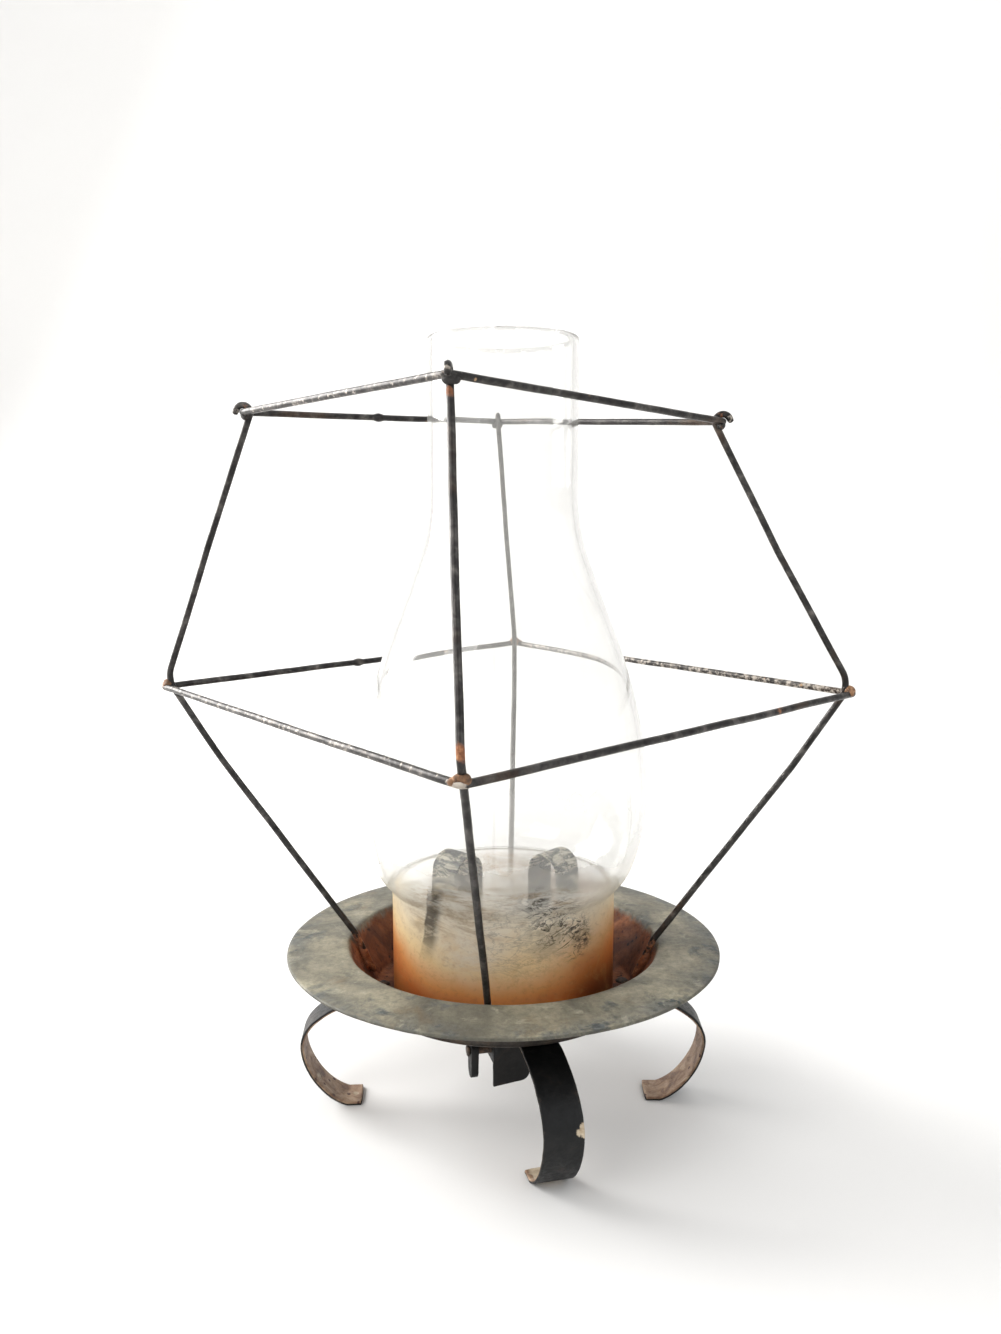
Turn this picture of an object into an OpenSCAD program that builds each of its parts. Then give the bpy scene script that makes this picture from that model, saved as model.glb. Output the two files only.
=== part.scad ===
// Barn lantern: a glass chimney in a round iron pan, guarded by a hand-bent
// wire cage and standing on four C-shaped strap feet.
// Millimetres, +Z up. Origin on the rest plane, on the pan's axis.
// The four cage corners point to -Y (front), +X (right), +Y (back), -X (left).

/* [Pan] */
// Radius of the rim's outer edge
rim_r = 74.1; // [73:0.1:76]
// Radius of the well's mouth, inside
mouth_r = 53.3; // [53.1:0.1:54]
// Radius of the well's flat floor, outside
floor_r = 46.1; // [46:0.1:46.4]
// Height of the rim's top face above the rest plane
rim_z = 57; // [56:0.5:58]
// Depth from the rim's top face to the floor's underside
well_depth = 18; // [17.5:0.1:18.5]
// Thickness of the pan's sheet iron
pan_t = 0.8; // [0.6:0.1:1]
// How far the rim's outer edge droops
rim_drop = 0.9; // [0:0.1:2]

/* [Cage] */
// Diameter of the cage wire
wire_d = 2.2; // [2:0.1:2.3]
// Bend radius of the rings' corners, on the wire's centreline
corner_bend = 1.8; // [1.8:0.1:3]
// Top ring, front corner: x, y, z (the cage leans a little to the left)
top_front = [-9.4, -80.8, 238.2]; // [-100:0.1:260]
// Top ring, right corner: x, y, z
top_right = [72, 0.6, 232.4]; // [-100:0.1:260]
// Top ring, back corner: x, y, z
top_back = [-6.5, 79.3, 239.4]; // [-100:0.1:260]
// Top ring, left corner: x, y, z
top_left = [-86.6, -1, 236.2]; // [-100:0.1:260]
// Middle ring: distance of the front, right, back and left corners from the axis
mid_half = [117.6, 116.8, 117.6, 116.8]; // [110:0.1:125]
// Middle ring: heights of the front, right, back and left corners
mid_z = [139.9, 143.9, 147, 144.4]; // [130:0.1:152]
// Middle ring: sideways bend of the front, right, back and left corners
mid_side = [-3.2, 0.4, 1, 0.1]; // [-5:0.1:5]
// Sideways offset of each upright's foot: front, right, back, left
base_side = [-1.8, 0, 0, 0]; // [-4:0.1:4]
// How far each upright's bend sits above the middle ring: front, right, back, left
kink_up = [6.4, 2.6, 2.6, 2.6]; // [2.4:0.1:8]
// Radius of each upright's bend at the middle ring: front, right, back, left
kink_r = [5, 9, 9, 9]; // [4:0.5:10]
// Outward bow of each upright's upper half: front, right, back, left
bow_up = [0.1, -0.9, 0.1, 0.2]; // [-2:0.1:2]
// Outward bow of each upright's lower half: front, right, back, left
bow_low = [0.1, 1.3, 1.2, 1.4]; // [0.1:0.1:2]

/* [Chimney] */
// Outer radius of the chimney's fitter (a 3 inch fitter)
fitter_r = 38.1; // [37.9:0.1:38.2]
// Height of the whole chimney (nominal 8 1/2 inch)
chimney_h = 219.4; // [216:0.1:221]
// Greatest outer radius of the bulge
bulge_r = 48.8; // [47:0.1:49]
// Outer radius of the neck
neck_r = 24.7; // [23:0.1:26]
// Thickness of the glass
glass_t = 2; // [1.6:0.1:2.2]

/* [Clips] */
// Width of the clip strap
clip_w = 11.5; // [9:0.5:12]
// Thickness of the clip strap
clip_t = 0.8; // [0.6:0.1:0.8]
// Direction of the left clip from the axis, degrees
clip_left_az = -130; // [-140:1:-120]
// Direction of the right clip from the axis, degrees
clip_right_az = -38; // [-45:1:-30]

/* [Feet] */
// Width of the foot strap (half inch)
foot_w = 12.7; // [10:0.1:14]
// Thickness of the foot strap
foot_t = 1.2; // [1:0.1:1.4]
// Directions of the front, right, back and left feet from the axis, degrees
foot_az = [-72, 3, 97, 187]; // [-90:1:200]

/* [Candle cup] */
// Inside radius of the candle cup
cup_r = 10.5; // [9.5:0.1:11]
// Height of the candle cup
cup_h = 14; // [10:0.5:16]

/* [Catch] */
// Width of the catch bracket's front plate
catch_w = 12.2; // [11:0.1:13]
// Height of the catch bracket's front plate
catch_h = 21; // [18:0.5:24]
// Drop of the catch pin's axis below the pan's floor
pin_drop = 9.7; // [9.5:0.1:12]

/* [Hidden] */
floor_b = rim_z - well_depth;
floor_top = floor_b + pan_t;
gap = 0.1;
rivet_r = 1.25;
hole_r = 1.3;
foot_rivet_r = 41.8;
clip_rivet_r = 24.5;
catch_pos = [4.2, -28, floor_b];
catch_turn = 18;
catch_rivets_at = [[-2.8, 7.5], [2.8, 7.5]];
wire_black = "#3a3633";
iron = "#6f7062";
strap_black = "#2c2a29";
spring_grey = "#77756a";
solder_rust = "#8a5a38";

// ---- vectors, paths ----
function unit(v) = v / norm(v);
function perp(d) = unit(abs(d[2]) < 0.9 ? cross(d, [0, 0, 1]) : cross(d, [1, 0, 0]));
function flat(v) = [v[0], v[1], 0];
function off_axis(o, d) = unit(o - (o * d) * d);
function polar(r, a, z) = [r * cos(a), r * sin(a), z];
// Catmull-Rom curve from P[1] to P[n-2]; the two ends only steer it
function cr(a, b, c, d, t) = 0.5 * (2 * b + (c - a) * t + (2 * a - 5 * b + 4 * c - d) * t * t + (3 * b - a - 3 * c + d) * t * t * t);
function curve(P, n) = [for (i = [1:len(P) - 3]) for (k = [0:(i == len(P) - 3 ? n : n - 1)]) cr(P[i - 1], P[i], P[i + 1], P[i + 2], k / n)];
function turn(P, i) = let (n = len(P), d = unit(P[min(i + 1, n - 1)] - P[max(i - 1, 0)])) [-d[1], d[0]];
function strip(P, t) = concat([for (i = [0:len(P) - 1]) P[i] + turn(P, i) * t / 2], [for (i = [len(P) - 1:-1:0]) P[i] - turn(P, i) * t / 2]);

module place(c, x, z) {
    y = cross(z, x);
    multmatrix([[x[0], y[0], z[0], c[0]], [x[1], y[1], z[1], c[1]], [x[2], y[2], z[2], c[2]], [0, 0, 0, 1]]) children();
}

// straight wire from a to b, run 0.1 mm into its neighbours
module rod(a, b, d) {
    u = unit(b - a) * 0.1;
    place(a - u, perp(unit(b - a)), unit(b - a)) cylinder(h = norm(b - a) + 0.2, d = d, $fn = 48);
}
function half_angle(p, a, b) = acos(unit(a - p) * unit(b - p)) / 2;
function leave(p, a, b, r) = p + unit(b - p) * r / tan(half_angle(p, a, b));
function bend_centre(p, a, b, r) = p + unit(unit(a - p) + unit(b - p)) * r / sin(half_angle(p, a, b));
// bent wire at corner p, coming from a and going to b
module bend(p, a, b, r, d) {
    c = bend_centre(p, a, b, r);
    t1 = leave(p, b, a, r);
    t2 = leave(p, a, b, r);
    place(c, unit(t1 - c), unit(cross(t1 - c, t2 - c)))
        rotate_extrude(angle = 180 - 2 * half_angle(p, a, b), $fn = 96) translate([r, 0]) circle(d = d, $fn = 48);
}
module closed_wire(P, r, d) {
    n = len(P);
    for (i = [0:n - 1]) {
        a = P[(i + n - 1) % n];
        b = P[(i + 1) % n];
        rod(leave(P[i], a, b, r), leave(b, P[(i + 2) % n], P[i], r), d);
        bend(P[i], a, b, r, d + 0.02);
    }
}
module open_wire(P, R, d) {
    n = len(P);
    for (i = [0:n - 2]) {
        a = i == 0 ? P[0] + unit(P[1] - P[0]) * 0.1 : leave(P[i], P[i - 1], P[i + 1], R[i]);
        b = i == n - 2 ? P[n - 1] - unit(P[n - 1] - P[n - 2]) * 0.1 : leave(P[i + 1], P[i + 2], P[i], R[i + 1]);
        rod(a, b, d);
    }
    for (i = [1:n - 2]) bend(P[i], P[i - 1], P[i + 1], R[i], d + 0.02);
}

// ---- cage layout: corners run front, right, back, left ----
top_pts = [top_front, top_right, top_back, top_left];
mid_pts = [for (i = [0:3]) polar(mid_half[i], -90 + 90 * i, mid_z[i]) + polar(mid_side[i], 90 * i, 0)];
// where the bent wire passes its corner, and the outward direction there
function corner_c(P, i) = bend_centre(P[i], P[(i + 3) % 4], P[(i + 1) % 4], corner_bend);
function corner_o(P, i) = unit(P[i] - corner_c(P, i));
function corner_g(P, i) = corner_c(P, i) + corner_o(P, i) * corner_bend;

touch = wire_d + 0.2;
function base_az(i) = -90 + 90 * i + asin(base_side[i] / mouth_r);
function base_top(i) = polar(mouth_r - 1.3, base_az(i), rim_z + 0.56);
function base_end(i) = polar(mouth_r - 1.3 - 15.5 * 0.4333, base_az(i), rim_z + 0.56 - 15.5 * 0.9012);
// point beside the middle ring where the upright passes it
function mid_n(i) = let (g = corner_g(mid_pts, i)) -off_axis(unit(flat(g)), unit(base_top(i) - g));
function mid_q(i) = corner_g(mid_pts, i) + mid_n(i) * touch;
function kink_low(i) = let (q = mid_q(i), d = unit(base_top(i) - q)) q + d * (corner_g(mid_pts, i)[2] + kink_up[i] - q[2]) / d[2];
function kink(i) = kink_up[i] > 4.5 ? kink_low(i) : corner_g(mid_pts, i) - unit(flat(corner_g(mid_pts, i))) * 0.8 + [0, 0, kink_up[i]];
// direction of the upper half, and the hook over the top ring
function hook_o0(i) = off_axis(corner_o(top_pts, i), unit(corner_g(top_pts, i) - kink(i)));
function hook_u(i) = unit(corner_g(top_pts, i) - hook_o0(i) * touch - kink(i));
function hook_o(i) = off_axis(corner_o(top_pts, i), hook_u(i));
function hook_a(i) = corner_g(top_pts, i) - hook_o(i) * touch + hook_u(i) * touch;
function hook_b(i) = corner_g(top_pts, i) + hook_o(i) * touch + hook_u(i) * touch;
function hook_e(i) = corner_g(top_pts, i) + hook_o(i) * touch - hook_u(i) * 1.4;
hook_r = touch - 0.02;

// a point at fraction f from a to b, pushed outward by s
function bowed(a, b, f, s) = let (p = a * (1 - f) + b * f) p + off_axis(unit(flat(p)), unit(b - a)) * s;
module upright(i) open_wire([hook_e(i), hook_b(i), hook_a(i), bowed(hook_a(i), kink(i), 0.5, bow_up[i]), kink(i),
    bowed(kink(i), base_top(i), 0.3, bow_low[i]), base_top(i), base_end(i)], [0, hook_r, hook_r, 80, kink_r[i], 60, 6, 0], wire_d);
module upright_front() color(wire_black) upright(0);
module upright_right() color(wire_black) upright(1);
module upright_back() color(wire_black) upright(2);
module upright_left() color(wire_black) upright(3);

// a butt weld's swelling at fraction f of the side from corner i to the next
module weld_bump(P, i, f, h) place(P[i] * (1 - f) + P[(i + 1) % 4] * f, unit(perp(unit(P[(i + 1) % 4] - P[i])) + 0.7 * cross(unit(P[(i + 1) % 4] - P[i]), perp(unit(P[(i + 1) % 4] - P[i])))), unit(P[(i + 1) % 4] - P[i]))
    rotate_extrude($fn = 48) polygon([[0, -1.9], [wire_d / 2 - 0.1, -1.9], [wire_d / 2 + h * 0.7, -1], [wire_d / 2 + h, 0], [wire_d / 2 + h * 0.7, 1], [wire_d / 2 - 0.1, 1.9], [0, 1.9]]);
module top_ring() color(wire_black) {
    closed_wire(top_pts, corner_bend, wire_d);
    weld_bump(top_pts, 2, 0.51, 0.5);
}
module middle_ring() color(wire_black) {
    closed_wire(mid_pts, corner_bend, wire_d);
    weld_bump(mid_pts, 2, 0.51, 0.5);
}

// ---- solder beads: each one wraps the wires that cross in it ----
module top_bead(i) translate(corner_g(top_pts, i) - hook_o(i) * touch / 2 - hook_u(i) * 0.5) sphere(r = 1.9, $fn = 48);
module mid_bead(i) translate(corner_g(mid_pts, i) + mid_n(i) * touch / 2) sphere(r = 2, $fn = 48);
module well_bead(i) {
    d = unit(base_end(i) - base_top(i));
    place(base_top(i) + d * 8.5 - off_axis(polar(1, base_az(i) + 180, 0), d) * 0.3, perp(d), d)
        rotate_extrude($fn = 48) polygon([[0, -3.6], [1.15, -3.1], [1.5, -1.2], [1.55, 0.4], [1.4, 1.9], [1, 3], [0, 3.4]]);
}
module top_solder() color(solder_rust) for (i = [0:3]) top_bead(i);
module middle_solder() color(solder_rust) for (i = [0:3]) mid_bead(i);
module well_solder() color(solder_rust) for (i = [0:3]) well_bead(i);

// ---- pan ----
function wall_in(s) = [floor_r - 0.7 + (mouth_r - 0.4 - floor_r + 0.7) * s, floor_top + 0.8 + (rim_z - 0.8 - floor_top - 0.8) * s];
module pan() color(iron) difference() {
    rotate_extrude($fn = 160) polygon([
        [0, floor_b], [floor_r - 0.8, floor_b], [floor_r - 0.2, floor_b + 0.3], [floor_r, floor_b + 1.3],
        [mouth_r + 0.3, rim_z - 1.3], [mouth_r + 1, rim_z - pan_t],
        [rim_r - 2, rim_z - rim_drop * 0.75 - pan_t], [rim_r - 1, rim_z - rim_drop - 0.75], [rim_r - 0.9, rim_z - rim_drop - 1.15],
        [rim_r - 0.15, rim_z - rim_drop - 1.15], [rim_r, rim_z - rim_drop - 1], [rim_r, rim_z - rim_drop - 0.6],
        [rim_r - 0.3, rim_z - rim_drop - 0.15], [rim_r - 0.9, rim_z - rim_drop + 0.15], [rim_r - 2, rim_z - rim_drop * 0.75],
        [mouth_r + 0.8, rim_z], [mouth_r + 0.1, rim_z - 0.2], wall_in(1), wall_in(0),
        [floor_r - 1.2, floor_top + 0.2], [floor_r - 1.9, floor_top], [0, floor_top]]);
    for (a = foot_az) rotate(a) for (s = [-1, 1]) translate([foot_rivet_r, s * 3.2, floor_b - 1]) cylinder(h = 3, r = hole_r, $fn = 32);
    for (a = [clip_left_az, clip_right_az]) rotate(a) translate([clip_rivet_r, 0, floor_b - 1]) cylinder(h = 3, r = hole_r, $fn = 32);
    translate([0, 0, floor_b - 1]) cylinder(h = 3, r = hole_r, $fn = 32);
    translate(catch_pos) rotate(catch_turn) for (p = catch_rivets_at) translate([p[0], p[1], -1]) cylinder(h = 3, r = hole_r, $fn = 32);
}

// a set rivet: the lower plate's underside at z = 0, its top side at z = grip
module rivet(grip) rotate_extrude($fn = 32) polygon([[0, -1.1], [1.1, -0.95], [1.9, -0.5], [2.2, 0], [rivet_r, 0],
    [rivet_r, grip], [2.2, grip], [1.9, grip + 0.5], [1.1, grip + 0.95], [0, grip + 1.1]]);

// ---- chimney ----
c0 = floor_top + gap;
bulge_path = [[fitter_r, c0 + 10], [fitter_r, c0 + 35], [fitter_r + 1.1, c0 + 38], [fitter_r + 4.1, c0 + 41.6], [fitter_r + 6.1, c0 + 45.4],
    [fitter_r + 8.4, c0 + 52.5], [bulge_r - 0.5, c0 + 62], [bulge_r, c0 + 71], [bulge_r - 0.9, c0 + 84], [bulge_r - 3.9, c0 + 100],
    [neck_r + 15.6, c0 + 116], [neck_r + 10.4, c0 + 130], [neck_r + 5.8, c0 + 142.5], [neck_r + 2.1, c0 + 153.5], [neck_r + 0.4, c0 + 163],
    [neck_r, c0 + 172], [neck_r, c0 + 190]];
glass_out = concat([[fitter_r, c0]], curve(bulge_path, 5), [[neck_r, c0 + chimney_h - 0.4]]);
module chimney() color("#e8e6dcaa") rotate_extrude($fn = 128) polygon(concat(
    glass_out, [[neck_r - 0.4, c0 + chimney_h], [neck_r - glass_t + 0.4, c0 + chimney_h]],
    [for (i = [len(glass_out) - 1:-1:0]) glass_out[i] - [glass_t, 0]]));

// ---- clips: hairpin springs riveted to the well's floor ----
clip_in = 16.2;
clip_loop = 5.7;
clip_path = concat(
    [[29.5, floor_top + clip_t / 2], [clip_in + 3, floor_top + clip_t / 2]],
    [for (a = [0:15:75]) [clip_in + 2, floor_top + clip_t / 2 + 2] - 2 * [sin(a), cos(a)]],
    [[clip_in, floor_top + 3], [clip_in, floor_top + 46.5]],
    [for (a = [165:-15:15]) [clip_in + clip_loop, floor_top + 46.9] + clip_loop * [cos(a), sin(a)]],
    curve([[27.5, floor_top + 48.2], [27.7, floor_top + 45.5], [28.1, floor_top + 38], [28.7, floor_top + 29.5], [30.4, floor_top + 23],
        [33.6, floor_top + 17], [34.85, floor_top + 13], [34.3, floor_top + 9], [32.4, floor_top + 5.4], [31.5, floor_top + 4]], 4));
module clip(a) difference() {
    rotate(a) rotate([90, 0, 0]) translate([0, 0, -clip_w / 2]) linear_extrude(clip_w) polygon(strip(clip_path, clip_t));
    rotate(a) translate([clip_rivet_r, 0, floor_top - 1]) cylinder(h = 4, r = hole_r, $fn = 32);
}
module clip_left() color(spring_grey) clip(clip_left_az);
module clip_right() color(spring_grey) clip(clip_right_az);
module clip_rivets() color(iron) for (a = [clip_left_az, clip_right_az]) rotate(a) translate([clip_rivet_r, 0, floor_b]) rivet(pan_t + clip_t);

// ---- candle cup ----
module candle_cup() color(iron) difference() {
    rotate_extrude($fn = 64) polygon([[0, floor_top], [cup_r + 0.4, floor_top], [cup_r + 0.8, floor_top + 0.4], [cup_r + 0.8, floor_top + cup_h - 1.2],
        [cup_r + 1.6, floor_top + cup_h - 0.2], [cup_r + 1.2, floor_top + cup_h], [cup_r, floor_top + cup_h - 0.9], [cup_r, floor_top + 2.1], [cup_r - 0.4, floor_top + 1.2], [cup_r - 1.3, floor_top + 0.8], [0, floor_top + 0.8]]);
    translate([0, 0, floor_top - 1]) cylinder(h = 3, r = hole_r, $fn = 32);
}
module cup_rivet() color(iron) translate([0, 0, floor_b]) rivet(pan_t + 0.8);

// ---- feet: C-shaped straps riveted under the floor ----
fz = floor_b - foot_t / 2;
foot_path = concat([[36.8, fz]], curve([[40, fz], [46.4, fz], [53, fz - 1.6], [60, fz - 4.4], [66.2, fz - 9], [69.4, fz - 15],
    [68.7, fz - 22], [65.3, fz - 29], [60.2, fz - 34.7], [54.6, foot_t / 2], [50, foot_t / 2]], 5), [[49.5, foot_t / 2]]);
module foot(a) rotate(a) difference() {
    rotate([90, 0, 0]) translate([0, 0, -foot_w / 2]) linear_extrude(foot_w) polygon(strip(foot_path, foot_t));
    for (s = [-1, 1]) translate([foot_rivet_r, s * 3.2, fz - 2]) cylinder(h = 4, r = hole_r, $fn = 32);
}
module foot_front() color(strap_black) foot(foot_az[0]);
module foot_right() color(strap_black) foot(foot_az[1]);
module foot_back() color(strap_black) foot(foot_az[2]);
module foot_left() color(strap_black) foot(foot_az[3]);
module foot_rivets() color(iron) for (a = foot_az) rotate(a) for (s = [-1, 1]) translate([foot_rivet_r, s * 3.2, floor_b - foot_t]) rivet(foot_t + pan_t);

// ---- catch under the floor: bracket, pin, swinging lever ----
module catch_at() translate(catch_pos) rotate(catch_turn) children();
module catch_bracket() color(strap_black) catch_at() {
    w = catch_w / 2;
    difference() {
        union() {
            rotate([90, 0, 0]) translate([0, 0, -0.5]) linear_extrude(1) {
                polygon([[-w, 0], [w, 0], [w, -catch_h + 4], [w - 2.6, -catch_h + 1], [-w, -catch_h]]);
                translate([w - 3, -catch_h + 4]) circle(r = 3, $fn = 40);
            }
            translate([-w, 0, -1]) cube([catch_w, 11, 1]);
            translate([-w, 0, -pin_drop - 3.5]) cube([1, 8, pin_drop + 3.5]);
        }
        for (p = catch_rivets_at) translate([p[0], p[1], -2]) cylinder(h = 3, r = hole_r, $fn = 32);
        translate([-w - 1, 4, -pin_drop]) rotate([0, 90, 0]) cylinder(h = 3, r = 1.55, $fn = 32);
    }
}
module catch_pin() color(iron) catch_at() translate([-14.1, 4, -pin_drop]) rotate([0, 90, 0]) rotate_extrude($fn = 32)
    polygon([[0, 0], [1.6, 0.1], [1.9, 0.5], [1.9, 0.8], [1.2, 0.8], [1.2, 3.6], [1.5, 3.6], [1.5, 9.05], [2.2, 9.05], [2.1, 9.8], [0, 10]]);
module catch_lever() color(strap_black) catch_at() translate([-10.6, 4, -pin_drop]) rotate([90, 0, -90]) difference() {
    linear_extrude(2.4) polygon(concat([for (a = [-5:10:185]) 3.1 * [cos(a), sin(a)]], [for (a = [185:10:355]) [0, -6.6] + 2.6 * [cos(a), sin(a)]]));
    translate([0, 0, -1]) cylinder(h = 4, r = 1.25, $fn = 32);
}
module catch_rivets() color(iron) catch_at() for (p = catch_rivets_at) translate([p[0], p[1], -1]) rivet(1 + pan_t);

pan();
top_ring();
middle_ring();
upright_front();
upright_right();
upright_back();
upright_left();
top_solder();
middle_solder();
well_solder();
chimney();
clip_left();
clip_right();
clip_rivets();
candle_cup();
cup_rivet();
foot_front();
foot_right();
foot_back();
foot_left();
foot_rivets();
catch_bracket();
catch_lever();
catch_pin();
catch_rivets();
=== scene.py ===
import bpy
import math
import numpy as np
from mathutils import Matrix, Vector, noise


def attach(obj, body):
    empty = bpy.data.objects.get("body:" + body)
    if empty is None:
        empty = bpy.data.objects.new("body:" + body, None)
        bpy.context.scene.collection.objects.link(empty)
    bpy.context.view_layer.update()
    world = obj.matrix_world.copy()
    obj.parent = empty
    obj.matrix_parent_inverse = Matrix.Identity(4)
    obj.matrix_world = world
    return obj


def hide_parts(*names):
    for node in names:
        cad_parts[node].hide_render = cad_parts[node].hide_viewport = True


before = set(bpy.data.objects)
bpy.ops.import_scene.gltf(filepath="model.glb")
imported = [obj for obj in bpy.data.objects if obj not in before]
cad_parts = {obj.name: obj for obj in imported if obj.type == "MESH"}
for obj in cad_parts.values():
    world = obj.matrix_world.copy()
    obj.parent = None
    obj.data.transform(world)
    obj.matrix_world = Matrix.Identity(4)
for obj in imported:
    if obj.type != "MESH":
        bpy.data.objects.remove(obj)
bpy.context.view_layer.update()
MM = 0.001
TAU = 2 * math.pi

# ------------------------------------------------------------------ camera
cam_data = bpy.data.cameras.new("camera")
cam_data.lens = 1110 / 1334 * 36
cam_data.sensor_width = 36
cam_data.sensor_height = 36
cam_data.sensor_fit = "AUTO"
cam_data.clip_start = 0.01
cam_data.clip_end = 20
cam = bpy.data.objects.new("camera", cam_data)
bpy.context.scene.collection.objects.link(cam)
right = Vector((0.998300, 0.058271, -0.000936)).normalized()
fwd = Vector((-0.057871, 0.989299, -0.133932)).normalized()
up = right.cross(fwd).normalized()
m = Matrix.Identity(4)
for r in range(3):
    m[r][0], m[r][1], m[r][2] = right[r], up[r], -fwd[r]
m.translation = Vector((20.761, -369.637, 201.98)) * MM
cam.matrix_world = m
bpy.context.scene.camera = cam


# ------------------------------------------------------------------ vectors, in mm, as the frame has them
def V(*a):
    return np.array(a, float)


def unit(v):
    v = np.asarray(v, float)
    return v / np.linalg.norm(v)


def polar(r, deg, z=0.0):
    a = math.radians(deg)
    return V(r * math.cos(a), r * math.sin(a), z)


def off_axis(o, d):
    return unit(o - np.dot(o, d) * d)


def flat(v):
    return V(v[0], v[1], 0)


def half_angle(p, a, b):
    return math.acos(float(np.clip(np.dot(unit(a - p), unit(b - p)), -1, 1))) / 2


def bend_centre(p, a, b, r):
    return p + unit(unit(a - p) + unit(b - p)) * r / math.sin(half_angle(p, a, b))


def rounded(P, R, closed=False, step=0.5):
    """The path through P with its corners turned on radii R, as dense points."""
    n = len(P)
    out = []
    for i in range(n):
        if not closed and i in (0, n - 1):
            out.append(P[i])
            continue
        p, a, b = P[i], P[(i - 1) % n], P[(i + 1) % n]
        r, h = R[i], half_angle(P[i], P[(i - 1) % n], P[(i + 1) % n])
        if h > math.radians(89.9):
            out.append(p)
            continue
        c = bend_centre(p, a, b, r)
        t = r / math.tan(h)
        u, w = (p + unit(a - p) * t) - c, (p + unit(b - p) * t) - c
        turn = math.pi - 2 * h
        k = max(3, int(math.ceil(turn * r / step)), int(math.ceil(turn / math.radians(9))))
        for j in range(k + 1):
            f = j / k
            out.append(c + (math.sin((1 - f) * turn) * u + math.sin(f * turn) * w) / math.sin(turn))
    out = np.array(out)
    if closed:
        out = np.vstack([out, out[:1]])
    fine = [out[0]]
    for a, b in zip(out[:-1], out[1:]):
        d = np.linalg.norm(b - a)
        if d < 1e-4:
            continue
        k = max(1, int(math.ceil(d / 1.1)))
        for j in range(1, k + 1):
            fine.append(a + (b - a) * j / k)
    fine = np.array(fine)
    return fine[:-1] if closed else fine


# ------------------------------------------------------------------ the cage's layout
WIRE = 2.2
CORNER = 1.8
TOP = [V(-9.4, -80.8, 238.2), V(72, 0.6, 232.4), V(-6.5, 79.3, 239.4), V(-86.6, -1, 236.2)]
MID_HALF = [117.6, 116.8, 117.6, 116.8]
MID_Z = [139.9, 143.9, 147, 144.4]
MID_SIDE = [-3.2, 0.4, 1, 0.1]
BASE_SIDE = [-1.8, 0, 0, 0]
KINK_UP = [6.4, 2.6, 2.6, 2.6]
KINK_R = [5, 9, 9, 9]
BOW_UP = [0.1, -0.9, 0.1, 0.2]
BOW_LOW = [0.1, 1.3, 1.2, 1.4]
MOUTH = 53.3
RIM_Z = 57.0
FLOOR_B = 39.0
FLOOR_T = 39.8
TOUCH = WIRE + 0.2
MID = [polar(MID_HALF[i], -90 + 90 * i, MID_Z[i]) + polar(MID_SIDE[i], 90 * i) for i in range(4)]


def corner_c(P, i):
    return bend_centre(P[i], P[(i + 3) % 4], P[(i + 1) % 4], CORNER)


def corner_o(P, i):
    return unit(P[i] - corner_c(P, i))


def corner_g(P, i):
    return corner_c(P, i) + corner_o(P, i) * CORNER


def base_az(i):
    return -90 + 90 * i + math.degrees(math.asin(BASE_SIDE[i] / MOUTH))


def base_top(i):
    return polar(MOUTH - 1.3, base_az(i), RIM_Z + 0.56)


def base_end(i):
    return polar(MOUTH - 1.3 - 15.5 * 0.4333, base_az(i), RIM_Z + 0.56 - 15.5 * 0.9012)


def mid_n(i):
    g = corner_g(MID, i)
    return -off_axis(unit(flat(g)), unit(base_top(i) - g))


def kink(i):
    g = corner_g(MID, i)
    if KINK_UP[i] > 4.5:
        q = g + mid_n(i) * TOUCH
        d = unit(base_top(i) - q)
        return q + d * (g[2] + KINK_UP[i] - q[2]) / d[2]
    return g - unit(flat(g)) * 0.8 + V(0, 0, KINK_UP[i])


def hook_u(i):
    g = corner_g(TOP, i)
    o = off_axis(corner_o(TOP, i), unit(g - kink(i)))
    return unit(g - o * TOUCH - kink(i))


def hook_o(i):
    return off_axis(corner_o(TOP, i), hook_u(i))


def bowed(a, b, f, s):
    p = a * (1 - f) + b * f
    return p + off_axis(unit(flat(p)), unit(b - a)) * s


def upright_path(i):
    g, o, u = corner_g(TOP, i), hook_o(i), hook_u(i)
    r = TOUCH - 0.02
    P = [g + o * TOUCH - u * 1.4, g + o * TOUCH + u * TOUCH, g - o * TOUCH + u * TOUCH]
    P.append(bowed(P[2], kink(i), 0.5, BOW_UP[i]))
    P.append(kink(i))
    P.append(bowed(kink(i), base_top(i), 0.3, BOW_LOW[i]))
    P += [base_top(i), base_end(i)]
    return rounded(P, [0, r, r, 80, KINK_R[i], 60, 6, 0])


# ------------------------------------------------------------------ mesh tools
def fbm(p, scale, octaves=3, seed=0.0):
    """Smooth noise of a point in mm, about -1 to 1."""
    q = Vector((p[0] / scale + seed * 7.31, p[1] / scale - seed * 3.77, p[2] / scale + seed * 5.13))
    s, a = 0.0, 1.0
    for _ in range(octaves):
        s += a * noise.noise(q)
        q = q * 2.13 + Vector((3.1, 1.7, 9.2))
        a *= 0.5
    return s


def new_piece(name, verts, faces, body, material, replaces=(), smooth=True, attrs=None, angle=None):
    me = bpy.data.meshes.new(name)
    me.from_pydata([tuple(v) for v in (np.asarray(verts) * MM)], [], faces)
    me.validate()
    me.update()
    ob = bpy.data.objects.new(name, me)
    bpy.context.scene.collection.objects.link(ob)
    for p in me.polygons:
        p.use_smooth = smooth
    if attrs:
        for k, vals in attrs.items():
            a = me.attributes.new(k, "FLOAT", "POINT")
            a.data.foreach_set("value", np.asarray(vals, np.float32))
    if angle is not None:
        try:
            me.set_sharp_from_angle(angle=math.radians(angle))
        except AttributeError:
            pass
    me.materials.append(material)
    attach(ob, body)
    if replaces:
        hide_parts(*replaces)
    return ob


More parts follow.
